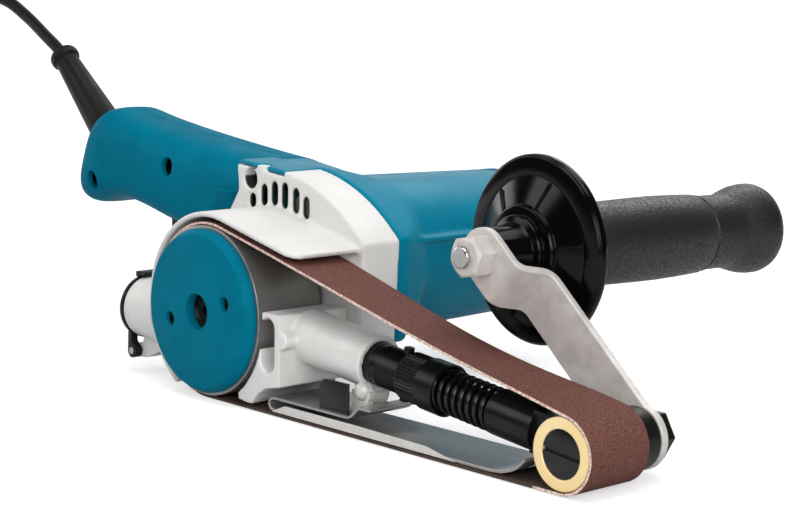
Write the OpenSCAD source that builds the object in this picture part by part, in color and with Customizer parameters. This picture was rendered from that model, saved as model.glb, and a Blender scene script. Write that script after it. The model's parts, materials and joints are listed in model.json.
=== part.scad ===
// Power file: a narrow abrasive belt on a sprung arm, driven by a motor that lies across the tool.
// Millimetres, Z up. X points forward along the arm, Y points to the motor and side grip.
// The origin lies in the middle of the lower belt run, on its outer face.

/* [Belt and pulleys] */
// Width of the abrasive belt
belt_w = 30; // [24:1:32]
// Thickness of the abrasive belt
belt_t = 1; // [0.6:0.1:1.4]
// Diameter of the drive pulley
drive_d = 68; // [64:1:70]
// Diameter of the idler rollers
idler_d = 25; // [23:0.5:26]
// Distance between the drive axis and the idler axis along the lower run
run_l = 191; // [186:1:200]
// Thickness of the drive pulley rim
rim_t = 5; // [3:0.5:7]
// Thickness of the pulley web
web_t = 6; // [4:0.5:8]
// Radius of the pulley hub
hub_r = 11; // [9:0.5:13]
// Thickness of the cover disc on the pulley
disc_t = 3.4; // [2.5:0.1:4.5]
// Radius of the hole in the middle of the disc
disc_hole_r = 7.3; // [6:0.1:9]
// Distance of the small disc screws from the drive axis
disc_screw_at = 19; // [17:0.5:22]
// Radius of the heads of the small disc screws
disc_screw_r = 2.6; // [2:0.1:3]

/* [Drive train] */
// Radius of the spindle
spindle_r = 6; // [5:0.5:7]
// Radius of the rear journal of the spindle
journal_r = 4; // [3:0.5:5]
// Teeth of the spindle gear
gear_teeth = 50; // [50:1:50]
// Teeth of the motor pinion
pinion_teeth = 10; // [10:1:10]
// Gear module
gear_module = 0.8; // [0.8:0.05:0.85]
// Width of the spindle gear
gear_w = 5.8; // [4:0.2:6]
// Radius of the armature core
core_r = 19; // [17:0.5:19.5]
// Length of the armature core
core_l = 36; // [30:1:38]
// Radius of the motor fan
fan_r = 25.5; // [22:0.5:26]
// Radius of the commutator
commutator_r = 11; // [9:0.5:12]

/* [Gear housing] */
// Air between the belt and its cover
cover_air = 1.8; // [1.4:0.1:3]
// Wall thickness of the belt cover
cover_t = 2.2; // [2:0.1:4]
// Front edge of the belt cover ahead of the drive axis
cover_front = 53.5; // [50:0.5:58]
// Where the near edge of the cover lies ahead of the belt's middle
cover_near = 15.5; // [14:0.5:17]
// Wall of the gear housing behind the belt, measured from the belt's middle
wall_y = 18; // [17.5:0.5:20]
// Thickness of that wall
wall_t = 3; // [2:0.5:4]
// Rear face of the gear housing
split_y = 37; // [37:0.5:39]
// Radius of the arch over the gears
arch_r = 84; // [80:1:88]
// Thickness of the rim round the gear chamber
rim_wall = 4; // [3:0.5:5]
// Width of each vent slot
slot_w = 4.5; // [3.5:0.1:5]
// Radius of the screw well beside the vents
well_r = 4.3; // [4:0.1:5]

/* [Motor housing] */
// Half width of the flat part of the barrel
barrel_flat = 6; // [4:0.5:8]
// Radius of the barrel at the front
barrel_r = 31.8; // [31:0.2:33]
// Radius of the barrel at the rear
barrel_end_r = 30; // [29:0.2:31]
// Wall thickness of the barrel
barrel_t = 3; // [2.4:0.2:3.4]
// Rear end of the barrel from the belt's middle
barrel_end = 131; // [131:1:140]
// Length of the rear cover
cap_l = 18; // [14:1:22]

/* [Handle] */
// Parting plane of the handle halves from the belt's middle
part_y = 62; // [60:1:64]
// Wall thickness of the handle
handle_t = 3; // [2.4:0.2:3.6]
// Rear face of the housing block where the handle starts
handle_start = 46; // [45:1:50]
// Radius of the screw wells in the handle
handle_well_r = 4.3; // [3.8:0.1:4.6]
// Length of the trigger
trigger_l = 34; // [28:1:38]
// Width of the trigger
trigger_w = 14; // [10:1:18]

/* [Arm and tension] */
// Radius of the boss on the arm bracket
boss_r = 10.5; // [10:0.5:12]
// Radius of the tension tube
tube_r = 8; // [7:0.2:8.4]
// Radius of the plunger rod
rod_r = 5.4; // [4.6:0.2:5.8]
// Radius of the cross pin
pin_r = 2; // [1.5:0.1:2.4]
// Radius over the knurls of the tension nut
nut_r = 9.2; // [9:0.1:10]
// Number of knurls on the tension nut
nut_knurls = 44; // [30:2:48]
// Mean radius of the tension spring
spring_r = 7.35; // [7:0.05:7.6]
// Wire radius of the tension spring
wire_r = 0.9; // [0.7:0.05:1]
// Turns of the tension spring
spring_turns = 8.5; // [6:0.5:9]
// Radius of the plunger sleeve
sleeve_r = 8.4; // [8:0.1:9]
// Travel of the plunger when a belt is changed
travel = 5; // [3:0.5:5]
// Radius of the idler axle
axle_r = 8.4; // [7:0.2:8.6]
// Width of the plunger head between the rollers
head_w = 11; // [9:0.5:12]

/* [Side grip] */
// Thickness of the bracket strip
strip_t = 3; // [2:0.5:4]
// Width of the bracket strip
strip_w = 20; // [18:0.5:22]
// Distance from the idler axle to the grip eye
strip_l = 84.2; // [80:0.5:90]
// Angle of the strip above the arm
strip_angle = 42; // [38:1:46]
// How far the strip steps back towards the belt
joggle = 14; // [10:0.5:16]
// Width of the grip nut across its flats
grip_nut_af = 14; // [13:0.5:15]
// Lean of the grip towards the idler
grip_lean = 4; // [0:0.5:6]
// Radius of the grip flange
flange_r = 35; // [30:0.5:36]
// Radius of the grip body
grip_r = 15.8; // [14:0.2:17]
// Length of the grip from the eye to its end
grip_l = 145; // [135:1:150]

/* [Dust port] */
// Outer radius of the dust nozzle
nozzle_r = 13; // [12.75:0.25:14]
// Bore radius of the dust nozzle
port_r = 11.5; // [10:0.25:12]
// Length of the bore in the dust nozzle
port_l = 20; // [16:1:21]
// Rear end of the nozzle behind the drive axis
nozzle_end = 62; // [61:1:66]
// Height of the nozzle axis
nozzle_z = 27; // [26:0.5:29]

/* [Cord] */
// Radius of the cord
cord_r = 3; // [2.8:0.1:3.2]
// Length of the cord guard
guard_l = 69; // [62:1:72]
// Radius of the guard where it leaves the handle
guard_r = 8.8; // [8:0.2:9.2]
// Radius of the guard near its tip
guard_tip_r = 5.8; // [5:0.2:6.4]
// Middle radius of the cord coil
coil_r = 34.5; // [33:0.5:36]
// Loops in the cord coil
coil_loops = 8.25; // [8.25:1:8.25]

/* [Hidden] */
// Running clearance between turning parts
run_gap = 0.05;
// Seating clearance between parts that stay still
seat_gap = 0.02;
// Gap between the belt and its pulleys
belt_gap = 0.3;
// Clear air between parts that pass each other
air = 0.4;
drive_r = drive_d / 2;
idler_r = idler_d / 2;
drive_z = belt_t + belt_gap + drive_r;
idler_z = belt_t + belt_gap + idler_r;
arm_a = atan((drive_z - idler_z) / run_l);
arm_l = sqrt(run_l * run_l + (drive_z - idler_z) * (drive_z - idler_z));
top_a = acos((drive_r - idler_r) / arm_l) - arm_a;
pulley_near = -belt_w / 2 - 1.2;
disc_near = pulley_near - disc_t;
web_y = pulley_near + 5.2;
cover_r = drive_r + belt_gap + belt_t + cover_air;
cover_out = cover_r + cover_t;
// Lowest edge of the housings over the belt's outer face
floor_gap = 1;
disc_turn = 16.4;
gear_c = gear_module * (gear_teeth + pinion_teeth) / 2;
mesh_a = 51;
motor_x = gear_c * cos(mesh_a);
motor_z = drive_z + gear_c * sin(mesh_a);
bearing_y = wall_y + 1.8;
bearing_w = 8;
bearing_r = 14;
gear_y = split_y - 0.4 - gear_w;
plate_y = split_y + 0.2;
plate_t = 2.8;
spin_rear_y = plate_y + 0.6;
spin_rear_w = 4;
spin_rear_r = 8;
arm_front_y = plate_y + 0.8;
arm_front_w = 7;
arm_front_r = 11;
arm_shaft_r = 4;
fan_y = 48;
core_y = 62;
comm_y = 104;
comm_l = 16;
brush_y = comm_y + comm_l / 2;
rear_seat_y = 124;
arm_rear_w = 6;
arm_rear_r = 9.5;
rear_shaft_r = 3.5;
cavity_r = barrel_end_r - barrel_t + 1;
stator_r = cavity_r - 0.05;
house_front = cover_front;
house_rear = -24;
house_low = 22;
arch_c = [-4, 6];
arch_from = 44.6;
arch_to = 82.4;
slots = [[-14, 72.4, 78.8], [-6.4, 73.8, 83.1], [0.2, 74.6, 84.7], [6.8, 74, 84.8],
    [13.8, 72.8, 83.2], [20.3, 71.2, 80.3]];
house_screws = [[-15.2, 84.6], [46, 29], [-30, 29]];
house_screw_r = 2.5;
bracket_x = drive_r + 13;
arm_screws_at = [[bracket_x - 8.5, drive_z - 16.3], [bracket_x - 8.5, drive_z + 0.7]];
arm_screw_r = 2;
bracket_near = -16.5;
boss_end = 86;
shoe_pin = [82, drive_z - 82 * tan(arm_a) - 13.07];
tube_from = 52;
tube_to = 112;
pin_at = 101.5;
nut_from = 104;
nut_mid = 115;
nut_to = 124;
cup_at = 117;
sleeve_from = 150;
sleeve_to = 171;
rod_from = 66;
spring_from = cup_at;
spring_to = sleeve_from;
spring_l = spring_to - spring_from;
cap_hinge = [-nozzle_end, 8.6];
cap_t = 2.2;
roller_in = head_w / 2 + 0.4;
roller_out = belt_w / 2 - 0.1;
strip_y = 23.5;
eye_y = strip_y - joggle;
eye_x = run_l - strip_l * cos(strip_angle);
eye_z = idler_z + strip_l * sin(strip_angle);
grip_y = eye_y + strip_t;
grip_nut_t = 8.6;
stud_r = 4;
guard_from = [-172, part_y, 81];
guard_a = 41.5;
trigger_at = [-88, 62];

// Stations of the handle: place, bottom, top, half width and lean of the section
handle_st = [[-46, 44, 88.4, 24, 0], [-60, 45, 89.9, 23.5, 0], [-85, 49, 92.7, 22.6, 0],
    [-113, 54.5, 96, 22, 0.03], [-135, 60, 98.9, 21.6, 0.09], [-150, 61.3, 101.1, 21.5, 0.17],
    [-162, 57.6, 103.2, 21.4, 0.28], [-168.6, 56.4, 104.2, 21, 0.34], [-175.2, 57.4, 103, 19.6, 0.38],
    [-180, 60.6, 99.4, 16.8, 0.4], [-183, 66.4, 93.4, 11.8, 0.4]];
handle_screws_at = [[-167.2, 69.3], [-104.6, 80.6], [-66, 60]];
handle_screw_r = 1.9;
dial_drop = 24.5;
switch_w = 18;

// Belt coil of the cord
coil_c = [-277, -14];
coil_gap = 0.6;
coil_pitch = 2 * cord_r + coil_gap;
coil_layers = 4;
coil_per = coil_loops / coil_layers;
coil_lift = 1.2;
coil_z = cord_r + coil_lift;
plug_z = 8;
tie_a = 60;
cord_path = [[-240.5, 62, 135.8], [-257.5, 61.5, 145], [-274, 59.5, 152.4], [-290, 54.5, 154.6],
    [-304.5, 47, 149], [-314.5, 39.5, 136], [-319, 32, 116], [-320.3, 24.5, 92],
    [-320, 17, 67], [-319, 8, 44.5], [-318.3, -3, 29.6]];

// Small helpers
function disc_x(side) = side * disc_screw_at * cos(disc_turn);
function disc_z(side) = drive_z + side * disc_screw_at * sin(disc_turn);
function arm_at(s) = [s * cos(arm_a), 0, drive_z - s * sin(arm_a)];
function guard_at(s) = [guard_from[0] - s * cos(guard_a), guard_from[1], guard_from[2] + s * sin(guard_a)];
function ramp(t) = t <= 0 ? 0 : t >= 1 ? 1 : t * t * (3 - 2 * t);
function unit(v) = v / norm(v);

module place() {
    translate([-run_l / 2, 0, 0]) children();
}

module along_arm(s) {
    translate(arm_at(s)) rotate([0, 90 + arm_a, 0]) children();
}

module along_y(x, y, z) {
    translate([x, y, z]) rotate([-90, 0, 0]) children();
}

module along_x(x, y, z) {
    translate([x, y, z]) rotate([0, 90, 0]) children();
}

module prism_y(y0, y1) {
    translate([0, y1, 0]) rotate([90, 0, 0]) linear_extrude(height = y1 - y0) children();
}

module rod_y(x, z, y0, y1, r, n = 48) {
    along_y(x, y0, z) cylinder(h = y1 - y0, r = r, $fn = n);
}

module slot_2d(x, z0, z1, w) {
    translate([x - w / 2, z0 + w / 2]) square([w, z1 - z0 - w]);
    translate([x, z0 + w / 2]) circle(d = w, $fn = 32);
    translate([x, z1 - w / 2]) circle(d = w, $fn = 32);
}

module stadium_2d(r) {
    translate([motor_x - barrel_flat, motor_z - r]) square([2 * barrel_flat, 2 * r]);
    for (side = [-1, 1]) translate([motor_x + side * barrel_flat, motor_z]) circle(r = r, $fn = 96);
}

// A tube through the rings of a point list, closed at both ends
module tube(rings, sides) {
    count = len(rings);
    points = [for (ring = rings) for (p = ring) p];
    skin = [for (i = [0 : count - 2]) for (j = [0 : sides - 1]) for (half = [0, 1])
        let (k = (j + 1) % sides, a = i * sides + j, b = i * sides + k, c = (i + 1) * sides + k,
            d = (i + 1) * sides + j)
        half == 0 ? [a, b, c] : [a, c, d]];
    ends = [[for (j = [sides - 1 : -1 : 0]) j], [for (j = [0 : sides - 1]) (count - 1) * sides + j]];
    polyhedron(points = points, faces = concat(skin, ends), convexity = 10);
}

// Rings of a round tube along a path, each square to the path
function path_dir(path, i) = unit(path[min(i + 1, len(path) - 1)] - path[max(i - 1, 0)]);
function path_rings(path, r, sides, up) = [for (i = [0 : len(path) - 1])
    let (d = path_dir(path, i), u = unit(cross(up, d)), v = cross(d, u))
    [for (j = [0 : sides - 1]) path[i] + r * (cos(-360 * j / sides) * u + sin(-360 * j / sides) * v)]];

// Belt loop: an arc round each pulley, joined by the two runs
function arc_points(x, z, r, from, to, n) = [for (i = [0 : n])
    let (a = from + (to - from) * i / n) [x + r * cos(a), z + r * sin(a)]];

module loop_2d(grow) {
    polygon(concat(arc_points(0, drive_z, drive_r + grow, top_a, 270, 56),
        arc_points(run_l, idler_z, idler_r + grow, -90, top_a, 40)));
}

module abrasive_belt() {
    color([0.48, 0.31, 0.28]) place() prism_y(-belt_w / 2, belt_w / 2) difference() {
        loop_2d(belt_gap + belt_t);
        loop_2d(belt_gap);
    }
}

// Drive pulley and spindle
module drive_pulley() {
    inner = drive_r - rim_t;
    color([0.93, 0.83, 0.66]) place() difference() {
        union() {
            along_y(0, 0, drive_z) rotate_extrude($fn = 120) polygon([[2.6, web_y], [inner, web_y],
                [inner, pulley_near], [drive_r, pulley_near], [drive_r, belt_w / 2], [inner, belt_w / 2],
                [inner, web_y + web_t], [hub_r, web_y + web_t], [hub_r, wall_y - 1],
                [spindle_r + seat_gap, wall_y - 1], [spindle_r + seat_gap, web_y + 2], [2.6, web_y + 2]]);
            for (side = [-1, 1]) rod_y(disc_x(side), disc_z(side), pulley_near, web_y, 5, 32);
        }
        for (side = [-1, 1]) rod_y(disc_x(side), disc_z(side), pulley_near - 1, web_y + web_t - 1,
            1.5 + seat_gap, 24);
    }
}

module pulley_disc() {
    r = drive_r - 0.4;
    color([0, 0.43, 0.52]) place() difference() {
        along_y(0, 0, drive_z) rotate_extrude($fn = 120) polygon([[disc_hole_r, pulley_near], [r, pulley_near],
            [r, pulley_near - 1.2], [r - 2, disc_near], [disc_hole_r, disc_near]]);
        for (side = [-1, 1]) {
            rod_y(disc_x(side), disc_z(side), disc_near - 1, pulley_near - 1.2, disc_screw_r + 0.4, 32);
            rod_y(disc_x(side), disc_z(side), disc_near - 1, pulley_near + 1, 1.5 + seat_gap, 24);
        }
    }
}

module disc_screws() {
    color([0.3, 0.3, 0.32]) place() for (side = [-1, 1]) difference() {
        union() {
            rod_y(disc_x(side), disc_z(side), pulley_near - 2.6, pulley_near - 1.2, disc_screw_r, 32);
            rod_y(disc_x(side), disc_z(side), pulley_near - 1.2, web_y + web_t - 1.5, 1.5, 24);
        }
        prism_y(pulley_near - 3, pulley_near - 1.9) translate([disc_x(side), disc_z(side)])
            for (a = [45, 135]) rotate(a) square([0.8, 3.6], center = true);
    }
}

module pulley_screw() {
    color([0.08, 0.08, 0.09]) place() difference() {
        union() {
            rod_y(0, drive_z, web_y - 5, web_y, 4.9, 48);
            rod_y(0, drive_z, web_y, web_y + 14, 2.5, 32);
        }
        prism_y(web_y - 6, web_y - 2) translate([0, drive_z]) circle(r = 2.3, $fn = 6);
    }
}

module spindle() {
    color([0.72, 0.72, 0.74]) place() difference() {
        union() {
            rod_y(0, drive_z, web_y + 2, plate_y - 0.3, spindle_r, 64);
            rod_y(0, drive_z, plate_y - 0.3, spin_rear_y + spin_rear_w + 1, journal_r, 48);
        }
        rod_y(0, drive_z, web_y, web_y + 16, 2.5 + seat_gap, 32);
    }
}

// Teeth as a ring of points with narrow flanks, so that the wheels keep some backlash
function teeth(n, root, tip, wide, narrow, turn) = [for (i = [0 : n - 1]) for (k = [0 : 3])
    let (a = turn + 360 * i / n + (k == 0 ? -wide : k == 1 ? -narrow : k == 2 ? narrow : wide),
        r = k == 0 || k == 3 ? root : tip) [r * cos(a), r * sin(a)]];

module spindle_gear() {
    r = gear_module * gear_teeth / 2;
    step = 360 / gear_teeth;
    color([0.6, 0.6, 0.62]) place() difference() {
        prism_y(gear_y, gear_y + gear_w) translate([0, drive_z]) polygon(teeth(gear_teeth,
            r - 1.15 * gear_module, r + 0.7 * gear_module, step * 0.29, step * 0.1, mesh_a));
        rod_y(0, drive_z, gear_y - 1, gear_y + gear_w + 1, spindle_r + seat_gap, 64);
    }
}

module ball_bearing(x, z, y, w, r_in, r_out) {
    t = (r_out - r_in) * 0.28;
    place() {
        color([0.75, 0.75, 0.77]) difference() {
            rod_y(x, z, y, y + w, r_out, 64);
            rod_y(x, z, y - 1, y + w + 1, r_in + seat_gap, 64);
            for (side = [0, 1]) along_y(x, y + side * (w - 0.6) - 0.01, z) difference() {
                cylinder(h = 0.62, r = r_out - t, $fn = 48);
                translate([0, 0, -1]) cylinder(h = 3, r = r_in + t, $fn = 48);
            }
        }
    }
}

module spindle_front_bearing() {
    ball_bearing(0, drive_z, bearing_y, bearing_w, spindle_r, bearing_r);
}

module spindle_rear_bearing() {
    ball_bearing(0, drive_z, spin_rear_y, spin_rear_w, journal_r, spin_rear_r);
}

module armature_front_bearing() {
    ball_bearing(motor_x, motor_z, arm_front_y, arm_front_w, arm_shaft_r, arm_front_r);
}

module armature_rear_bearing() {
    ball_bearing(motor_x, motor_z, rear_seat_y, arm_rear_w, rear_shaft_r, arm_rear_r);
}

// Motor
module armature_shaft() {
    r = gear_module * pinion_teeth / 2;
    step = 360 / pinion_teeth;
    color([0.66, 0.66, 0.68]) place() {
        prism_y(gear_y - 0.2, plate_y - 0.2) translate([motor_x, motor_z]) polygon(teeth(pinion_teeth,
            r - 1.25 * gear_module, r + 0.7 * gear_module, step * 0.27, step * 0.08, 180 + mesh_a + step / 2));
        rod_y(motor_x, motor_z, plate_y - 0.2, comm_y + comm_l + 1, arm_shaft_r, 48);
        rod_y(motor_x, motor_z, comm_y + comm_l + 1, rear_seat_y + arm_rear_w + 0.5, rear_shaft_r, 48);
    }
}

module armature_core() {
    color([0.4, 0.4, 0.42]) place() difference() {
        prism_y(core_y, core_y + core_l) translate([motor_x, motor_z]) difference() {
            circle(r = core_r, $fn = 96);
            for (i = [0 : 11]) rotate(i * 30) {
                translate([core_r - 1.6, -0.9]) square([3, 1.8]);
                translate([core_r - 4, 0]) circle(r = 2.5, $fn = 24);
            }
        }
        rod_y(motor_x, motor_z, core_y - 1, core_y + core_l + 1, arm_shaft_r + seat_gap, 48);
    }
}

module armature_windings() {
    color([0.72, 0.4, 0.2]) place() for (y = [core_y - 3.4, core_y + core_l]) difference() {
        rod_y(motor_x, motor_z, y, y + 3.4, core_r - 2.4, 64);
        rod_y(motor_x, motor_z, y - 1, y + 5, arm_shaft_r + 3, 48);
    }
}

module commutator() {
    color([0.78, 0.5, 0.28]) place() difference() {
        prism_y(comm_y, comm_y + comm_l) translate([motor_x, motor_z]) difference() {
            circle(r = commutator_r, $fn = 96);
            for (i = [0 : 23]) rotate(i * 15) translate([commutator_r - 1, -0.3]) square([2, 0.6]);
        }
        rod_y(motor_x, motor_z, comm_y - 1, comm_y + comm_l + 1, arm_shaft_r + seat_gap, 48);
    }
}

module fan() {
    color([0.15, 0.15, 0.16]) place() difference() {
        union() {
            rod_y(motor_x, motor_z, fan_y, fan_y + 2, fan_r, 96);
            rod_y(motor_x, motor_z, fan_y, fan_y + 9, 8, 48);
            prism_y(fan_y + 2, fan_y + 8) translate([motor_x, motor_z]) for (i = [0 : 13]) rotate(i * 360 / 14)
                translate([12, -0.7]) square([fan_r - 12.6, 1.4]);
        }
        rod_y(motor_x, motor_z, fan_y - 1, fan_y + 10, arm_shaft_r + seat_gap, 48);
    }
}

module field_window_2d() {
    for (side = [0, 180]) rotate(side) intersection() {
        circle(r = 25, $fn = 96);
        translate([0, -13]) square([30, 26]);
    }
}

module field_stator() {
    color([0.45, 0.45, 0.47]) place() prism_y(core_y - 0.5, core_y + core_l + 0.5) translate([motor_x, motor_z])
        difference() {
        circle(r = stator_r, $fn = 120);
        circle(r = core_r + 0.6, $fn = 96);
        field_window_2d();
    }
}

module field_coils() {
    color([0.7, 0.42, 0.22]) place() prism_y(core_y - 3.2, core_y + core_l + 3.2) translate([motor_x, motor_z])
        for (side = [0, 180]) rotate(side) difference() {
        intersection() {
            circle(r = 24.9, $fn = 96);
            translate([0, -12.9]) square([30, 25.8]);
        }
        circle(r = core_r + 0.8, $fn = 96);
    }
}

module brush_holders() {
    color([0.82, 0.66, 0.3]) place() for (side = [-1, 1]) difference() {
        along_x(motor_x + side * 23, brush_y, motor_z) cylinder(h = 21, r = 6, center = true, $fn = 48);
        translate([motor_x + side * 23, brush_y, motor_z]) cube([30, 6.4, 8.4], center = true);
    }
}

module brushes() {
    color([0.2, 0.2, 0.21]) place() for (side = [-1, 1])
        translate([motor_x + side * (commutator_r + 0.1 + 8), brush_y, motor_z]) cube([16, 6.3, 8.3], center = true);
}

module brush_caps() {
    color([0.1, 0.1, 0.11]) place() for (side = [-1, 1]) difference() {
        along_x(motor_x + side * 35.4, brush_y, motor_z) cylinder(h = 3.8, r = 7, center = true, $fn = 48);
        translate([motor_x + side * 37.3, brush_y, motor_z]) cube([1.6, 1.2, 9], center = true);
    }
}

// Motor housing
module house_2d(inset) {
    arch = [for (i = [0 : 14]) let (a = arch_from + (arch_to - arch_from) * i / 14)
        [arch_c[0] + (arch_r - inset) * cos(a), arch_c[1] + (arch_r - inset) * sin(a)]];
    polygon(concat([[house_front - inset, house_low + inset]], arch,
        [[6.4, 89.4 - inset - (inset > 0 ? 0.4 : 2.4)], [house_rear + inset, (inset > 0 ? 88.5 : 89.9) - inset],
        [house_rear + inset + 1.1, 79.4], [-28.7 + inset, 71], [-28.7 + inset, 50], [-28.7 + inset, house_low + inset]]));
}

module disc_2d(r) {
    translate([0, drive_z]) circle(r = r, $fn = 120);
}

module flange_2d() {
    arch = [for (i = [0 : 14]) let (a = arch_from + (arch_to - arch_from) * i / 14)
        [arch_c[0] + (arch_r + 0.6) * cos(a), arch_c[1] + (arch_r + 0.6) * sin(a)]];
    polygon(concat([[house_front, house_low + 2], [house_front + 1, 62]], arch,
        [[-26, 90.6], [-30, 74], [-36, 66], [-36, 24], [-28, house_low], [40, house_low]]));
}

module barrel_solid() {
    slice = 0.4;
    hull() {
        prism_y(split_y + 17, split_y + 17 + slice) stadium_2d(barrel_r);
        prism_y(barrel_end - slice, barrel_end) stadium_2d(barrel_end_r);
    }
    hull() {
        prism_y(split_y, split_y + 5) flange_2d();
        prism_y(split_y + 17, split_y + 17 + slice) stadium_2d(barrel_r);
    }
}

module handle_ring_solid(from, to, inset) {
    sides = 32;
    power = 0.62;
    rings = [for (i = [from : to]) let (s = handle_st[i], zc = (s[1] + s[2]) / 2, hz = (s[2] - s[1]) / 2 - inset,
        hy = s[3] - inset)
        [for (j = [0 : sides - 1]) let (a = 360 * j / sides, ca = cos(a), sa = sin(a),
            z = hz * sign(sa) * pow(abs(sa), power))
            [s[0] + s[4] * z, part_y + hy * sign(ca) * pow(abs(ca), power), zc + z]]];
    tube(rings, sides);
}

module rear_block() {
    slice = 0.4;
    hull() {
        handle_slice(-handle_start, 0);
        translate([motor_x - 17, part_y - 19, motor_z - 12]) cube([slice, 23, 12 + 30.2]);
    }
}

module handle_slice(x, inset) {
    sides = 32;
    power = 0.62;
    s = handle_st[0];
    zc = (s[1] + s[2]) / 2;
    hz = (s[2] - s[1]) / 2 - inset;
    hy = s[3] - inset;
    ring = [for (j = [0 : sides - 1]) let (a = 360 * j / sides, ca = cos(a), sa = sin(a))
        [part_y + hy * sign(ca) * pow(abs(ca), power), zc + hz * sign(sa) * pow(abs(sa), power)]];
    translate([x, 0, 0]) rotate([90, 0, 90]) linear_extrude(height = 0.4) polygon(ring);
}

module lip() {
    difference() {
        prism_y(wall_y + 0.8, split_y + 0.5) polygon([[-24, 90.2], [6.2, 87.2], [6.2, 89.4], [-11, 90.9], [-24, 92.1]]);
        translate([-10.8 - air, wall_y - 1, 84]) cube([4.4 + 2 * air, 5 + air, 12]);
    }
}

module motor_housing() {
    color([0, 0.43, 0.52]) place() difference() {
        union() {
            barrel_solid();
            rear_block();
            lip();
            translate([house_front - 6, split_y + 0.5, 62.6]) cube([6.6, 52, 2.2]);
        }
        prism_y(split_y - 1, plate_y + plate_t + 0.02) stadium_2d(cavity_r);
        prism_y(plate_y + 1, comm_y - 2) stadium_2d(cavity_r);
        prism_y(comm_y - 3, rear_seat_y - 1) stadium_2d(cavity_r - 3);
        rod_y(0, drive_z, split_y - 1, plate_y + 7, spin_rear_r + 3.2, 64);
        rod_y(motor_x, motor_z, rear_seat_y - 2, rear_seat_y + arm_rear_w + 0.01, arm_rear_r + seat_gap, 64);
        rod_y(motor_x, motor_z, rear_seat_y - 2, barrel_end + 1, rear_shaft_r + 2, 48);
        for (p = house_screws) rod_y(p[0], p[1], split_y - 1, split_y + 12, house_screw_r + seat_gap, 32);
        for (side = [-1, 1]) {
            along_x(motor_x + side * 30, brush_y, motor_z) cylinder(h = 20, r = 6 + seat_gap, center = true, $fn = 48);
            along_x(motor_x + side * 37.4, brush_y, motor_z)
                cylinder(h = 7.8, r = 7 + air, center = true, $fn = 48);
            rod_y(motor_x + side * 20, motor_z + 16, barrel_end - 6, barrel_end + 1, 1.8 + seat_gap, 24);
        }
        prism_y(rear_seat_y - 2, barrel_end + 1) for (a = [45, 90, 135, 225, 270, 315])
            translate([motor_x + 17 * cos(a), motor_z + 17 * sin(a) * 0.9]) circle(r = 3, $fn = 24);
        translate([-handle_start - 1, part_y - 12, 58]) cube([32, 20, 20]);
    }
}

module bearing_plate() {
    color([0.7, 0.7, 0.72]) place() difference() {
        union() {
            prism_y(plate_y, plate_y + plate_t) intersection() {
                stadium_2d(cavity_r - seat_gap);
                translate([motor_x - 45, motor_z - 40]) square([90, 80]);
            }
            rod_y(0, drive_z, plate_y, plate_y + 5.6, spin_rear_r + 3, 64);
            rod_y(motor_x, motor_z, plate_y, plate_y + 8.6, arm_front_r + 2.6, 64);
        }
        rod_y(0, drive_z, spin_rear_y, plate_y + 6, spin_rear_r + seat_gap, 64);
        rod_y(0, drive_z, plate_y - 1, plate_y + 6, journal_r + 1.2, 48);
        rod_y(motor_x, motor_z, arm_front_y, plate_y + 9, arm_front_r + seat_gap, 64);
        rod_y(motor_x, motor_z, plate_y - 1, plate_y + 9, arm_shaft_r + 1.2, 48);
    }
}

module rear_cover() {
    slice = 0.4;
    color([0, 0.43, 0.52]) place() difference() {
        hull() {
            prism_y(barrel_end, barrel_end + 6) stadium_2d(barrel_end_r);
            prism_y(barrel_end + cap_l - slice, barrel_end + cap_l) stadium_2d(barrel_end_r - 6);
        }
        prism_y(barrel_end - 1, barrel_end + cap_l - 3) stadium_2d(barrel_end_r - 9);
        for (i = [-3 : 3]) prism_y(barrel_end + cap_l - 6, barrel_end + cap_l + 1)
            slot_2d(motor_x + i * 5.4, motor_z - 9, motor_z + 9, 2.6);
        for (side = [-1, 1]) {
            rod_y(motor_x + side * 20, motor_z + 16, barrel_end - 1, barrel_end + cap_l + 1, 1.8 + seat_gap, 24);
            rod_y(motor_x + side * 20, motor_z + 16, barrel_end + 8, barrel_end + cap_l + 1, 3.6, 32);
        }
        rod_y(motor_x, motor_z - dial_drop, barrel_end + 8, barrel_end + cap_l + 1, 8, 48);
        rod_y(motor_x, motor_z - dial_drop, barrel_end + 3.6, barrel_end + 9, 2 + run_gap, 32);
    }
}

module rear_cover_screws() {
    color([0.3, 0.3, 0.32]) place() for (side = [-1, 1]) difference() {
        union() {
            rod_y(motor_x + side * 20, motor_z + 16, barrel_end - 5.5, barrel_end + 8, 1.8, 24);
            rod_y(motor_x + side * 20, motor_z + 16, barrel_end + 8, barrel_end + 10.4, 3.2, 32);
        }
        translate([motor_x + side * 20, barrel_end + 10.2, motor_z + 16]) cube([0.8, 2, 4.4], center = true);
        translate([motor_x + side * 20, barrel_end + 10.2, motor_z + 16]) cube([4.4, 2, 0.8], center = true);
    }
}

module speed_dial() {
    color([0.1, 0.1, 0.11]) place() difference() {
        union() {
            prism_y(barrel_end + 8 + air, barrel_end + cap_l - 2) translate([motor_x, motor_z - dial_drop])
                polygon([for (i = [0 : 47]) let (r = i % 2 == 0 ? 7.4 : 6.9) [r * cos(i * 7.5), r * sin(i * 7.5)]]);
            rod_y(motor_x, motor_z - dial_drop, barrel_end + 4, barrel_end + 8 + air, 2, 32);
        }
        translate([motor_x, barrel_end + cap_l - 2, motor_z - dial_drop + 4]) cube([1, 1.6, 4], center = true);
    }
}

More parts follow.
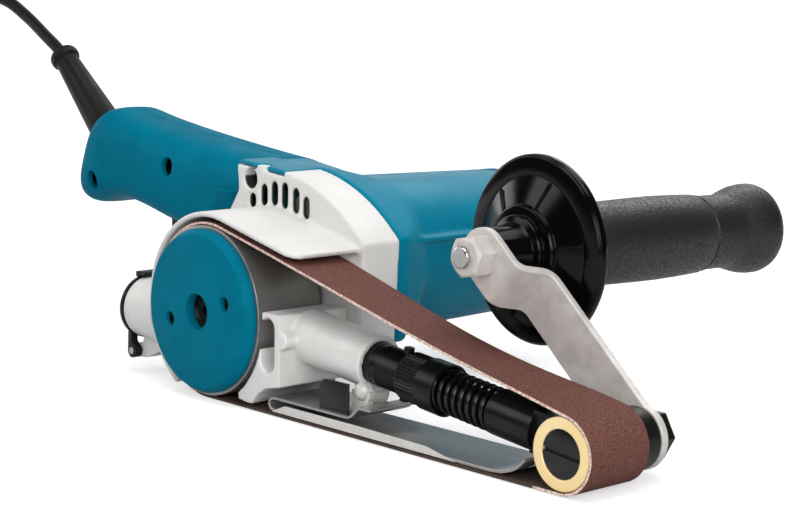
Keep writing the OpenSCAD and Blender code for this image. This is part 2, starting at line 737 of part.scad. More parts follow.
// Gear housing with the belt cover
module cover_2d() {
    n = [cos(top_a), sin(top_a)];
    t = [sin(top_a), -cos(top_a)];
    c = [0, drive_z];
    reach = (cover_front - cover_out * n[0]) / t[0];
    difference() {
        disc_2d(cover_out);
        disc_2d(cover_r);
        polygon([c, [80 * cos(-123), drive_z + 80 * sin(-123)], [0, -60], [80, -40], [90, drive_z], [70, 90],
            [80 * cos(top_a), drive_z + 80 * sin(top_a)]]);
    }
    polygon([c + cover_r * n, c + cover_out * n, c + cover_out * n + reach * t, c + cover_r * n + reach * t]);
}

module chamber_2d() {
    intersection() {
        house_2d(rim_wall);
        translate([-26, house_low]) square([90, 70]);
    }
}

module gear_housing() {
    corner = 7;
    color([0.9, 0.9, 0.89]) place() difference() {
        union() {
            difference() {
                union() {
                    prism_y(wall_y, split_y) house_2d(0);
                    prism_y(wall_y, wall_y + wall_t) intersection() {
                        disc_2d(cover_out);
                        translate([-60, floor_gap]) square([120, 120]);
                    }
                    prism_y(wall_y, split_y) intersection() {
                        disc_2d(cover_out);
                        translate([-42, floor_gap]) square([60, 50 - floor_gap]);
                    }
                }
                difference() {
                    prism_y(wall_y + wall_t, split_y + 1) union() {
                        chamber_2d();
                        disc_2d(cover_out - rim_wall - 8);
                    }
                    rod_y(0, drive_z, wall_y, bearing_y + bearing_w + 0.2, bearing_r + 3, 64);
                    for (p = house_screws) rod_y(p[0], p[1], wall_y, split_y + 1, 6, 48);
                }
            }
            translate([-10.8, wall_y, 84]) cube([4.4, 4, 6.5]);
            difference() {
                prism_y(-cover_near, wall_y) cover_2d();
                translate([cover_front - corner, -cover_near - 1, 50]) difference() {
                    cube([corner + 1, corner + 1, 40]);
                    translate([0, corner + 1, -1]) cylinder(h = 50, r = corner, $fn = 64);
                }
            }
        }
        for (s = slots) prism_y(wall_y - 1, wall_y + wall_t + 1) slot_2d(s[0], s[1], s[2], slot_w);
        rod_y(0, drive_z, bearing_y, split_y, bearing_r + seat_gap, 64);
        rod_y(0, drive_z, wall_y - 1, split_y, hub_r + 1, 64);
        for (p = house_screws) {
            rod_y(p[0], p[1], wall_y - 1, wall_y + 9, well_r, 48);
            rod_y(p[0], p[1], wall_y - 1, split_y + 1, house_screw_r + seat_gap, 32);
        }
        for (p = arm_screws_at) {
            rod_y(p[0], p[1], wall_y - 1, wall_y + wall_t + 1, arm_screw_r + seat_gap, 32);
            rod_y(p[0], p[1], wall_y + wall_t, split_y + 1, 3.6 + air, 32);
        }
        along_x(-60, 0, nozzle_z) cylinder(h = 40, r = port_r + 1, $fn = 64);
    }
}

module housing_screws() {
    color([0.3, 0.3, 0.32]) place() for (p = house_screws) difference() {
        union() {
            rod_y(p[0], p[1], wall_y + 5, wall_y + 9, 3.4, 48);
            rod_y(p[0], p[1], wall_y + 9, split_y + 11, house_screw_r, 32);
        }
        prism_y(wall_y + 4, wall_y + 7.4) translate([p[0], p[1]]) circle(r = 2, $fn = 6);
    }
}

module arm_screws() {
    color([0.3, 0.3, 0.32]) place() for (p = arm_screws_at) {
        rod_y(p[0], p[1], 8, wall_y + wall_t, arm_screw_r, 32);
        rod_y(p[0], p[1], wall_y + wall_t, wall_y + wall_t + 3, 3.6, 32);
    }
}

// Handle
module handle_shell() {
    last = len(handle_st) - 1;
    difference() {
        handle_ring_solid(0, last, 0);
        handle_ring_solid(0, last - 1, handle_t);
        translate([-handle_start - 6, part_y - 40, 30]) cube([10, 80, 5]);
    }
}

module handle_half(side) {
    low = side < 0 ? part_y - 40 : part_y + seat_gap;
    difference() {
        union() {
            intersection() {
                handle_shell();
                translate([-240, low, 20]) cube([240, 40 - seat_gap, 120]);
            }
            if (side < 0) prism_y(part_y - 27.2, part_y - 20.8)
                polygon([[-60.6, 75], [-50, 75], [-50, 66], [-64.6, 66]]);
            for (p = handle_screws_at) intersection() {
                rod_y(p[0], p[1], part_y - 26, part_y + 26, 5.6, 40);
                handle_ring_solid(0, len(handle_st) - 1, 1.2);
                translate([-240, low, 20]) cube([240, 40 - seat_gap, 120]);
            }
            intersection() {
                translate([-127.8, side < 0 ? low : part_y + switch_w / 2 + 0.1, 62])
                    cube([4, 40 - switch_w / 2 - 0.1, 13]);
                handle_ring_solid(0, len(handle_st) - 1, 1.2);
            }
            intersection() {
                translate([trigger_at[0] - 9, part_y + (side < 0 ? -1 : 1) * (trigger_w / 2 + air + 2) - 2, 44])
                    cube([10, 4, 22]);
                handle_ring_solid(0, len(handle_st) - 1, 1.2);
            }
        }
        for (p = handle_screws_at) {
            rod_y(p[0], p[1], part_y - 50, part_y - 13, handle_well_r, 40);
            rod_y(p[0], p[1], part_y - 50, part_y + 14, handle_screw_r + seat_gap, 32);
        }
        translate(guard_at(0)) rotate([0, -90 + guard_a, 0]) {
            translate([0, 0, -6]) cylinder(h = 12, r = guard_r + 2.6 + air, $fn = 48);
            cylinder(h = 60, r = guard_r + seat_gap, $fn = 48);
        }
        translate([trigger_at[0] - trigger_l - air, part_y - trigger_w / 2 - air, 36])
            cube([trigger_l + 2 * air, trigger_w + 2 * air, 24]);
        rod_y(trigger_at[0] - 4, trigger_at[1], part_y - trigger_w / 2 - 6, part_y + trigger_w / 2 + 6,
            2 + run_gap, 32);
        if (side > 0) rod_y(-119, 80, part_y + 10, part_y + 40, 5 + run_gap * 4, 48);
    }
}

module handle_near() {
    color([0, 0.43, 0.52]) place() handle_half(-1);
}

module handle_far() {
    color([0, 0.42, 0.51]) place() handle_half(1);
}

module handle_screws() {
    color([0.3, 0.3, 0.32]) place() for (p = handle_screws_at) difference() {
        union() {
            rod_y(p[0], p[1], part_y - 15.4, part_y - 13, 3.6, 32);
            rod_y(p[0], p[1], part_y - 13, part_y + 13, handle_screw_r, 32);
        }
        translate([p[0], part_y - 15.4, p[1]]) cube([0.9, 2.4, 4.6], center = true);
        translate([p[0], part_y - 15.4, p[1]]) cube([4.6, 2.4, 0.9], center = true);
    }
}

module trigger() {
    x = trigger_at[0] - 4;
    z = trigger_at[1];
    color([0.1, 0.1, 0.11]) place() {
        prism_y(part_y - trigger_w / 2, part_y + trigger_w / 2) union() {
            translate([x, z]) circle(r = 3.6, $fn = 32);
            polygon([[x, z + 3.4], [x + 3.4, z], [x + 2.6, 44.5], [x - 3, 43], [x - 14, 45.6], [x - 24, 46.8],
                [x - trigger_l + 5, 48], [x - trigger_l + 4.6, 59], [x - 20, 60]]);
        }
        rod_y(x, z, part_y - trigger_w / 2 - 3.6, part_y + trigger_w / 2 + 3.6, 2, 32);
    }
}

module switch_body() {
    color([0.13, 0.13, 0.14]) place() {
        translate([-128, part_y - switch_w / 2, 66]) cube([30, switch_w, 8.6]);
        translate([-118, part_y - 4, 63.8]) cube([8, 8, 2.4]);
    }
}

module lock_button() {
    color([0.1, 0.1, 0.11]) place() {
        rod_y(-119, 80, part_y + 15.6, part_y + 24.5, 5, 48);
        rod_y(-119, 80, part_y + 15.6, part_y + 17.1, 6.6, 48);
    }
}

// Cord
module guard_turn() {
    translate(guard_at(0)) rotate([0, -90 + guard_a, 0]) children();
}

module cord_guard() {
    bore = cord_r + 0.05;
    color([0.09, 0.09, 0.1]) place() guard_turn() rotate_extrude($fn = 64) polygon([[bore, -2], [guard_r + 2.4, -2],
        [guard_r + 2.4, 4.4], [guard_r, 5.8], [guard_r - 0.1, 16], [guard_tip_r, guard_l - 6], [guard_tip_r + 1.1, guard_l - 5.6],
        [guard_tip_r + 1.5, guard_l - 4], [guard_tip_r + 1.5, guard_l - 2.4], [guard_tip_r + 0.9, guard_l - 0.7],
        [guard_tip_r - 0.4, guard_l], [bore + 1, guard_l], [bore, guard_l - 16]]);
}

// The cord sags after the guard, falls behind the tool and lies in a coil
coil_start = [coil_c[0] - (coil_r + coil_per / 2 * coil_pitch), coil_c[1],
    coil_z + (coil_layers - 1) * coil_pitch];
cord_points = concat([guard_at(-1.6), guard_at(8), guard_at(20), guard_at(36), guard_at(52), guard_at(guard_l - 2)], cord_path,
    [coil_start + [0, 1.6, 0]]);
function bend(p, i, t) = let (a = p[max(i - 1, 0)], b = p[i], c = p[i + 1], d = p[min(i + 2, len(p) - 1)])
    0.5 * (2 * b + (c - a) * t + (2 * a - 5 * b + 4 * c - d) * t * t + (3 * b - a - 3 * c + d) * t * t * t);
cord_line = concat([for (i = [0 : len(cord_points) - 2]) for (t = [0, 0.5]) bend(cord_points, i, t)],
    [coil_start + [0, 1.2, 0], coil_start + [0, 0.45, 0]]);

module cord() {
    color([0.2, 0.2, 0.21]) place() tube(path_rings(cord_line, cord_r, 10, [0.3, 0.2, 0.93]), 10);
}

// Angle in turns from the start: the spiral runs in and out, and steps down a layer where it turns back
function coil_reach(t) = let (k = floor(t / coil_per), f = t / coil_per - k) k % 2 == 0 ? 1 - f : f;
function coil_level(t) = coil_layers - 1 - ramp_sum(t, 1);
function ramp_sum(t, k) = k >= coil_layers ? 0 : min(1, max(0, (t - k * coil_per + 0.25) / 0.5)) + ramp_sum(t, k + 1);
function coil_point(t) = let (r = coil_r + (coil_reach(t) - 0.5) * coil_per * coil_pitch, a = 180 + 360 * t)
    [coil_c[0] + r * cos(a), coil_c[1] + r * sin(a), coil_z + coil_level(t) * coil_pitch];
coil_count = floor(coil_loops * 24);
coil_turns_line = [for (i = [0 : coil_count]) coil_point(i * coil_loops / coil_count)];
coil_end = coil_turns_line[coil_count];
tail_l = 26;
coil_line = concat(coil_turns_line, [for (i = [1 : 8])
    [coil_end[0] + tail_l * i / 8, coil_end[1], coil_end[2] + (plug_z - coil_end[2]) * ramp(i / 7)]]);
coil_least = min([for (i = [0 : coil_count]) for (j = [i + 8 : coil_count])
    norm(coil_turns_line[i] - coil_turns_line[j])]) - 2 * cord_r;
echo(coil_gap_least = coil_least);

module cord_coil() {
    color([0.2, 0.2, 0.21]) place() tube(path_rings(coil_line, cord_r, 6, [0, 0, 1]), 6);
}

module cord_tie() {
    half = coil_per / 2 * coil_pitch + cord_r + 0.4;
    high = coil_layers * coil_pitch;
    color([0.1, 0.1, 0.11]) place() translate([coil_c[0] + coil_r * cos(tie_a), coil_c[1] + coil_r * sin(tie_a), 0])
        rotate([0, 0, tie_a]) difference() {
        translate([-half - 1, -5, coil_lift - 0.8 - 0.3]) cube([2 * half + 2, 10, high + 2.4]);
        translate([-half, -6, coil_lift - 0.3]) cube([2 * half, 12, high + 0.4]);
    }
}

module plug() {
    x = coil_end[0] + tail_l;
    y = coil_end[1];
    color([0.11, 0.11, 0.12]) place() translate([x, y, plug_z]) rotate([0, 90, 0]) {
        cylinder(h = 12, r1 = 4.2, r2 = 5.4, $fn = 48);
        translate([0, 0, 12]) linear_extrude(height = 24) {
            square([14, 18], center = true);
            for (side = [-1, 1]) translate([0, side * 9]) circle(r = 7, $fn = 48);
        }
        for (side = [-1, 1]) translate([0, side * 9.5, 36]) cylinder(h = 19, r = 2.4, $fn = 32);
    }
}

// Arm bracket, tension parts and belt shoe
module bracket_2d() {
    r = drive_r + 2.4;
    arc = [for (i = [0 : 12]) let (a = 7 - 61 * i / 12) [r * cos(a), drive_z + r * sin(a)]];
    polygon(concat(arc, [[bracket_x - 25, 3.2], [bracket_x - 17.4, 2.6], [bracket_x - 13.6, 7], [bracket_x - 8.5, 10.2],
        [bracket_x, 11.8], [bracket_x, drive_z + 4.3]]));
}

module arm_bracket() {
    color([0.62, 0.62, 0.63]) place() difference() {
        union() {
            prism_y(bracket_near, wall_y - seat_gap) bracket_2d();
            rod_y(bracket_x + 0.6, drive_z - 5.3, bracket_near, 6, 3.4, 40);
            along_arm(bracket_x - 2) cylinder(h = boss_end - bracket_x + 2, r = boss_r, $fn = 64);
            rod_y(shoe_pin[0], shoe_pin[1], -5, 5, 4, 40);
            translate([shoe_pin[0] - 4, -5, shoe_pin[1]]) cube([8, 10, 6]);
        }
        prism_y(bracket_near - 1, 4) slot_2d(bracket_x - 7.4, drive_z - 18.8, drive_z + 2.5, 8.6);
        along_arm(tube_from) cylinder(h = 60, r = tube_r + seat_gap, $fn = 64);
        for (p = arm_screws_at) rod_y(p[0], p[1], 7.5, wall_y + 1, arm_screw_r + seat_gap, 32);
        rod_y(shoe_pin[0], shoe_pin[1], -6, 6, 2 + seat_gap, 32);
    }
}

module tension_tube() {
    color([0.7, 0.7, 0.71]) place() difference() {
        along_arm(tube_from) cylinder(h = tube_to - tube_from, r = tube_r, $fn = 64);
        along_arm(tube_from - 1) cylinder(h = tube_to - tube_from + 2, r = rod_r + run_gap, $fn = 64);
        translate(arm_at(pin_at)) rotate([0, arm_a, 0]) cylinder(h = 40, r = pin_r + seat_gap, center = true, $fn = 32);
        for (i = [0 : 4]) along_arm(90.5 + i * 2) difference() {
            cylinder(h = 0.9, r = tube_r + 1, $fn = 64);
            translate([0, 0, -1]) cylinder(h = 3, r = tube_r - 0.6, $fn = 64);
        }
    }
}

module stop_pin() {
    color([0.3, 0.3, 0.32]) place() translate(arm_at(pin_at)) rotate([0, arm_a, 0])
        cylinder(h = 20.5, r = pin_r, center = true, $fn = 32);
}

module tension_nut() {
    color([0.3, 0.3, 0.31]) place() difference() {
        union() {
            along_arm(nut_from) linear_extrude(height = nut_mid - nut_from) polygon([for (i = [0 : 2 * nut_knurls - 1])
                let (r = i % 2 == 0 ? nut_r : nut_r - 0.5, a = 180 * i / nut_knurls) [r * cos(a), r * sin(a)]]);
            along_arm(nut_mid - 0.4) cylinder(h = nut_to - nut_mid + 0.4, r = nut_r + 0.5, $fn = 64);
        }
        along_arm(nut_from - 1) cylinder(h = tube_to - nut_from + 1.4, r = tube_r + run_gap, $fn = 64);
        along_arm(nut_from - 1) cylinder(h = 40, r = rod_r + 0.6, $fn = 64);
        along_arm(cup_at) cylinder(h = 20, r = spring_r + wire_r + 0.7, $fn = 64);
    }
}

// The spring is one tube, straight for one wire thickness at each end
spring_rings = floor(spring_turns * 8);
spring_line = [for (i = [0 : spring_rings]) let (t = i / spring_rings, a = 360 * spring_turns * t)
    [spring_r * cos(a), spring_r * sin(a), wire_r + 0.6 + (spring_l - 2 * wire_r - 1.2) * t]];
spring_path = concat([spring_line[0] - 2 * wire_r * unit(spring_line[1] - spring_line[0])], spring_line,
    [spring_line[spring_rings] + 2 * wire_r * unit(spring_line[spring_rings] - spring_line[spring_rings - 1])]);
spring_least = min([for (i = [0 : spring_rings]) for (j = [i + 5 : spring_rings])
    norm(spring_line[i] - spring_line[j])]) - 2 * wire_r;
echo(spring_gap_least = spring_least);

module tension_spring() {
    color([0.32, 0.31, 0.31]) place() along_arm(spring_from) tube(path_rings(spring_path, wire_r, 6, [0, 0, 1]), 6);
}

module tension_plunger() {
    color([0.5, 0.5, 0.51]) place() difference() {
        union() {
            along_arm(rod_from) cylinder(h = sleeve_from + 1 - rod_from, r = rod_r, $fn = 64);
            along_arm(sleeve_from) cylinder(h = sleeve_to - sleeve_from, r = sleeve_r, $fn = 64);
            intersection() {
                along_arm(sleeve_to - 1) translate([-7.6, -head_w / 2, 0]) cube([15.2, head_w, arm_l - sleeve_to + 1]);
                prism_y(-20, 20) loop_2d(-2);
            }
            rod_y(run_l, idler_z, -head_w / 2, head_w / 2, idler_r - 1.5, 64);
        }
        rod_y(run_l, idler_z, -20, 20, axle_r + seat_gap, 64);
        for (s = [pin_at, pin_at + travel]) translate(arm_at(s)) rotate([0, arm_a, 0])
            cylinder(h = 40, r = pin_r + air, center = true, $fn = 32);
        translate(arm_at(pin_at)) rotate([0, arm_a, 0]) translate([0, -pin_r - air, -20])
            cube([travel, 2 * (pin_r + air), 40]);
    }
}

module idler_axle() {
    color([0.07, 0.07, 0.08]) place() difference() {
        rod_y(run_l, idler_z, -belt_w / 2 + 0.6, strip_y - 0.3, axle_r, 64);
        translate([run_l, -belt_w / 2 + 0.6, idler_z]) rotate([0, 90 + arm_a, 0]) cube([1.4, 2.4, 30], center = true);
        rod_y(run_l, idler_z, 8, strip_y + 1, 4 + seat_gap, 48);
    }
}

module idler_rollers() {
    color([0.95, 0.8, 0.5]) place() for (side = [-1, 1]) difference() {
        rod_y(run_l, idler_z, side < 0 ? -roller_out : roller_in, side < 0 ? -roller_in : roller_out, idler_r, 96);
        rod_y(run_l, idler_z, -20, 20, axle_r + run_gap, 96);
    }
}

module axle_spacer() {
    color([0.09, 0.09, 0.1]) place() difference() {
        rod_y(run_l, idler_z, roller_out + air, strip_y - 0.3, 11, 64);
        rod_y(run_l, idler_z, 0, 40, axle_r + seat_gap, 64);
    }
}

module shoe_2d() {
    polygon([[41, 1.4], [150, 1.4], [158, 1.4], [163.5, 1.9], [168.4, 3.4], [172, 5.5], [175, 8.3], [174.3, 9],
        [171.4, 6.4], [168, 4.4], [163.3, 2.9], [158, 2.4], [150, 2.4], [41.4, 2.4], [39.4, 3], [38.8, 4.3],
        [39.4, 5.6], [41.4, 6.2], [84, 6.2], [87, 7.4], [90.5, 10.8], [97, 10.8], [97, 11.8], [90, 11.8],
        [86.2, 8.2], [84, 7.2], [41, 7.2], [38.7, 6.4], [37.7, 4.3], [38.7, 2.2]]);
}

module belt_shoe() {
    color([0.78, 0.77, 0.76]) place() {
        difference() {
            prism_y(-belt_w / 2 + 0.5, belt_w / 2 - 0.5) shoe_2d();
            translate([165, -head_w / 2 - 1, 3.6]) cube([20, head_w + 2, 20]);
        }
        translate([66, -12.4, 7]) cube([16, 1.2, 11.6]);
        prism_y(-8.2, -5.3) difference() {
            union() {
                translate(shoe_pin) circle(r = 5.2, $fn = 48);
                translate([shoe_pin[0] - 3.8, 7]) square([7.6, 4.2]);
            }
            translate(shoe_pin) circle(r = 3.6, $fn = 48);
            translate([shoe_pin[0] - 8, shoe_pin[1]]) square([16, 8]);
        }
    }
}

module shoe_screw() {
    color([0.7, 0.7, 0.71]) place() {
        rod_y(shoe_pin[0], shoe_pin[1], -9.2, -5.02, 3.5, 40);
        rod_y(shoe_pin[0], shoe_pin[1], -5.02, 6, 2, 32);
    }
}

// Dust nozzle and cap
module dust_nozzle() {
    color([0.9, 0.9, 0.89]) place() difference() {
        union() {
            along_x(-nozzle_end, 0, nozzle_z) rotate_extrude($fn = 96) polygon([[0, 0], [nozzle_r - 0.6, 0], [nozzle_r, 0.6],
                [nozzle_r, 5], [nozzle_r + 2.5, nozzle_end - 40], [nozzle_r + 2.5, nozzle_end - 24], [0, nozzle_end - 24]]);
            prism_y(-5, 5) polygon([[-42, 12], [-56, 6.2], [cap_hinge[0], cap_hinge[1] - 3], [cap_hinge[0], cap_hinge[1] + 2.4],
                [cap_hinge[0] + 3, 12], [cap_hinge[0] + 4, 15.4], [-50, 18]]);
            rod_y(cap_hinge[0], cap_hinge[1], -5, 5, 3, 40);
        }
        along_x(-nozzle_end - 1, 0, nozzle_z) cylinder(h = port_l + 1, r = port_r, $fn = 64);
        along_x(-nozzle_end + port_l, 0, nozzle_z) cylinder(h = 40, r = port_r + 1, $fn = 64);
        prism_y(-40, 40) disc_2d(cover_out + seat_gap);
        rod_y(cap_hinge[0], cap_hinge[1], -6, 6, 1.5 + seat_gap, 32);
    }
}

module cap_pin() {
    color([0.7, 0.7, 0.71]) place() rod_y(cap_hinge[0], cap_hinge[1], -9, 9, 1.5, 32);
}

module dust_cap() {
    x = -nozzle_end - 0.35 - cap_t;
    color([0.09, 0.09, 0.1]) place() difference() {
        union() {
            along_x(x, 0, nozzle_z) rotate_extrude($fn = 96) polygon([[0, 0], [nozzle_r - 0.4, 0], [nozzle_r + 0.4, 0.8],
                [nozzle_r + 0.4, cap_t], [0, cap_t]]);
            translate([x, -4.5, nozzle_z + nozzle_r - 0.2]) cube([cap_t, 9, 2.2]);
            translate([x, -4.5, nozzle_z + nozzle_r + 0.5]) cube([cap_t + 4, 9, 1.6]);
            for (side = [-1, 1]) {
                rod_y(cap_hinge[0], cap_hinge[1], side < 0 ? -8.6 : 5.4, side < 0 ? -5.4 : 8.6, 3, 40);
                prism_y(side < 0 ? -8.6 : 5.4, side < 0 ? -5.4 : 8.6) polygon([[cap_hinge[0] - 3, cap_hinge[1]],
                    [cap_hinge[0] + 2.9, cap_hinge[1] + 0.4], [cap_hinge[0] - 0.35, cap_hinge[1] + 4.4],
                    [cap_hinge[0] - 0.35, cap_hinge[1] + 10], [x, cap_hinge[1] + 10]]);
            }
        }
        rod_y(cap_hinge[0], cap_hinge[1], -20, 20, 1.5 + run_gap, 32);
    }
}

// Side grip
module strip_turn() {
    translate([run_l, 0, idler_z]) rotate([0, strip_angle, 0]) children();
}

module grip_turn() {
    translate([eye_x, grip_y, eye_z]) rotate([0, 0, -grip_lean]) rotate([-90, 0, 0]) children();
}

module grip_bracket() {
    bend_r = 5;
    bend_a = 75;
    bend_l = 2 * bend_r * sin(bend_a) + (joggle - 2 * bend_r * (1 - cos(bend_a))) / tan(bend_a);
    half = strip_t / 2;
    y0 = strip_y + half;
    y1 = eye_y + half;
    start = strip_l - 10.6 - bend_l;
    line = concat([[1 - start, y0, 0]],
        [for (i = [0 : 8]) let (a = bend_a * i / 8) [-start - bend_r * sin(a), y0 - bend_r * (1 - cos(a)), a]],
        [for (i = [8 : -1 : 0]) let (a = bend_a * i / 8)
            [-start - bend_l + bend_r * sin(a), y1 + bend_r * (1 - cos(a)), a]], [[-start - bend_l - 1, y1, 0]]);
    near = [for (p = line) [p[0] + half * sin(p[2]), p[1] - half * cos(p[2])]];
    far = [for (i = [len(line) - 1 : -1 : 0]) let (p = line[i]) [p[0] - half * sin(p[2]), p[1] + half * cos(p[2])]];
    color([0.66, 0.64, 0.63]) place() strip_turn() difference() {
        union() {
            translate([0, strip_y, 0]) rotate([-90, 0, 0]) cylinder(h = strip_t, r = strip_w / 2 + 1.4, $fn = 64);
            translate([-start, strip_y, -strip_w / 2]) cube([start, strip_t, strip_w]);
            translate([0, 0, -strip_w / 2]) linear_extrude(height = strip_w) polygon(concat(near, far));
            translate([-strip_l, eye_y, -strip_w / 2]) cube([10.6, strip_t, strip_w]);
            translate([-strip_l, eye_y, 0]) rotate([-90, 0, 0]) cylinder(h = strip_t, r = strip_w / 2, $fn = 64);
        }
        translate([0, strip_y - 1, 0]) rotate([-90, 0, 0]) cylinder(h = strip_t + 2, r = 4 + seat_gap, $fn = 48);
        translate([-strip_l, eye_y - 1, 0]) rotate([-90, 0, 0]) cylinder(h = strip_t + 2, r = stud_r + 0.4, $fn = 48);
    }
}

module bracket_bolt() {
    color([0.55, 0.55, 0.56]) place() {
        rod_y(run_l, idler_z, 10, strip_y + strip_t, 4, 48);
        prism_y(strip_y + strip_t, strip_y + strip_t + 6.4) translate([run_l, idler_z])
            circle(d = 16 / cos(30), $fn = 6);
    }
}

module grip_nut() {
    color([0.62, 0.6, 0.58]) place() difference() {
        prism_y(eye_y - grip_nut_t, eye_y) translate([eye_x, eye_z]) rotate(12)
            circle(d = grip_nut_af / cos(30), $fn = 6);
        grip_turn() translate([0, 0, -20]) cylinder(h = 40, r = stud_r + seat_gap, $fn = 48);
    }
}

module grip_stud() {
    color([0.72, 0.72, 0.73]) place() grip_turn() translate([0, 0, -strip_t - grip_nut_t - 1.6])
        cylinder(h = strip_t + grip_nut_t + 1.6 + 34, r = stud_r, $fn = 48);
}

module side_grip() {
    flange = 26;
    body = [[grip_r - 2.2, flange + 13], [grip_r - 0.2, flange + 22], [grip_r, flange + 34], [grip_r + 0.3, flange + 56],
        [grip_r - 0.4, 104], [grip_r - 1.3, 107], [grip_r - 1.3, 121], [grip_r, 124], [grip_r + 1.9, 133],
        [grip_r + 1.9, 138], [grip_r + 0.4, grip_l - 5], [grip_r - 2.6, grip_l - 3.2], [0, grip_l - 3]];
    color([0.06, 0.06, 0.07]) place() grip_turn() difference() {
        rotate_extrude($fn = 96) polygon(concat([[0, 0.8], [9, 0.8], [9.6, 2.2], [10.4, 10], [13, 14], [16, 16.4], [26, 20.4],
            [flange_r - 1.4, flange - 3.2], [flange_r, flange - 1.6], [flange_r - 0.6, flange], [26, flange - 1], [17, flange + 1.6],
            [grip_r - 1.6, flange + 4]], body));
        cylinder(h = 34.2, r = stud_r + seat_gap, $fn = 48);
        translate([0, 0, -1]) cylinder(h = 3, r = stud_r + 0.4, $fn = 48);
    }
}

// Which sub-part is drawn

gear_housing();
bearing_plate();
motor_housing();
rear_cover();
rear_cover_screws();
speed_dial();
handle_near();
handle_far();
handle_screws();
housing_screws();
arm_screws();
field_stator();
field_coils();
brush_holders();
brushes();
brush_caps();
spindle_front_bearing();
spindle_rear_bearing();
armature_front_bearing();
armature_rear_bearing();
switch_body();
trigger();
lock_button();
cord_guard();
cord();
cord_coil();
cord_tie();
plug();
arm_bracket();
tension_tube();
stop_pin();
tension_nut();
tension_spring();
tension_plunger();
idler_axle();
idler_rollers();
axle_spacer();
belt_shoe();
shoe_screw();
dust_nozzle();
dust_cap();
cap_pin();
abrasive_belt();
armature_shaft();
armature_core();
armature_windings();
commutator();
fan();
spindle();
spindle_gear();
drive_pulley();
pulley_disc();
disc_screws();
pulley_screw();
grip_bracket();
bracket_bolt();
side_grip();
grip_stud();
grip_nut();
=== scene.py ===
import json
import math

import bmesh
import bpy
from mathutils import Matrix, Vector


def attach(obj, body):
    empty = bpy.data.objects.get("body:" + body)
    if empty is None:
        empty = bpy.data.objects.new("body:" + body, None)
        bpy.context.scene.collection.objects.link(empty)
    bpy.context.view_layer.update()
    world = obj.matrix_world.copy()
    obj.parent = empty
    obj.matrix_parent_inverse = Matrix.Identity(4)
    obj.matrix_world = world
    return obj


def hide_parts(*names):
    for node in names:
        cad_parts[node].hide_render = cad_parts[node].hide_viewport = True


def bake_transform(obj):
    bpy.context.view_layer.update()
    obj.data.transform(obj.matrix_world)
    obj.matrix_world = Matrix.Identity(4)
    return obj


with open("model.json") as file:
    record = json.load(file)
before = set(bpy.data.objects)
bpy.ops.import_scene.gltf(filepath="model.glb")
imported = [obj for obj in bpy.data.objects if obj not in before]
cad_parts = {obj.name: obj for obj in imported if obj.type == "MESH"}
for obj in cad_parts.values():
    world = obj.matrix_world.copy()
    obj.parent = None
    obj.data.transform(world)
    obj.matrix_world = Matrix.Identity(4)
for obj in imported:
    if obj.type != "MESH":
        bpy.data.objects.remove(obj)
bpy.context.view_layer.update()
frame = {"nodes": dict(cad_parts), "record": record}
nodes = frame["nodes"]
scene = bpy.context.scene
scene.view_settings.view_transform = "Standard"

# Main sizes in millimetres, from the drive axis
RUN = 191.0
DRIVE_Z = 35.3
IDLER_Z = 13.8
ARM_TILT = math.atan2(DRIVE_Z - IDLER_Z, RUN)
TOP_ANGLE = math.radians(77.16)
PART_Y = 62.0
GUARD_X, GUARD_Z = -172.0, 81.0
GUARD_TILT = math.radians(41.5)
CORD_R = 3.0
BELT_NEAR, BELT_FAR = -15.0, 13.6
BELT_T = 1.0
SLACK_NEAR, SLACK_FAR = 1.2, 4.2
GRIP_X, GRIP_Z = 128.43, 70.14


def at(x, y, z):
    """A point in millimetres from the drive axis, in the metres of the frame."""
    return Vector(((x - RUN / 2) / 1000.0, y / 1000.0, z / 1000.0))


def on_arm(s):
    """A point on the arm's axis, s millimetres from the drive axis."""
    return at(s * math.cos(ARM_TILT), 0.0, DRIVE_Z - s * math.sin(ARM_TILT))


def guard_at(s):
    """A place on the cord guard's axis, s millimetres from its root in the handle."""
    return (GUARD_X - s * math.cos(GUARD_TILT), PART_Y, GUARD_Z + s * math.sin(GUARD_TILT))


# Camera, fitted to the pulleys and belt of the photograph
CAMERA_PLACE = (0.5117, -0.4700, 0.1685)
CAMERA_TURN = (47.40, 8.374, -0.834)
PHOTO_WIDTH = 800.0
FOCAL_PIXELS = 1928.8
SENSOR = 36.0


def make_camera():
    yaw, pitch, roll = (math.radians(angle) for angle in CAMERA_TURN)
    level = math.cos(pitch)
    ahead = Vector((-math.sin(yaw) * level, math.cos(yaw) * level, -math.sin(pitch)))
    side = ahead.cross(Vector((0, 0, 1))).normalized()
    down = ahead.cross(side)
    right = math.cos(roll) * side + math.sin(roll) * down
    low = math.cos(roll) * down - math.sin(roll) * side
    data = bpy.data.cameras.new("photo_camera")
    data.sensor_width = SENSOR
    data.lens = FOCAL_PIXELS / PHOTO_WIDTH * SENSOR
    data.clip_start = 0.01
    camera = bpy.data.objects.new("photo_camera", data)
    turn = Matrix((right, -low, -ahead)).transposed().to_4x4()
    camera.matrix_world = Matrix.Translation(CAMERA_PLACE) @ turn
    scene.collection.objects.link(camera)
    scene.camera = camera


make_camera()


# Shader helpers
def srgb(code):
    """Linear colour of a six digit hex colour."""
    parts = [int(code[i:i + 2], 16) / 255.0 for i in (0, 2, 4)]
    return tuple(p / 12.92 if p <= 0.04045 else ((p + 0.055) / 1.055) ** 2.4 for p in parts) + (1.0,)


def add_node(tree, kind, **values):
    """A new node; a name that starts with in_ sets a socket, any other a property."""
    node = tree.nodes.new(kind)
    for key, value in values.items():
        if key.startswith("in_"):
            node.inputs[key[3:].replace("_", " ")].default_value = value
        else:
            setattr(node, key, value)
    return node


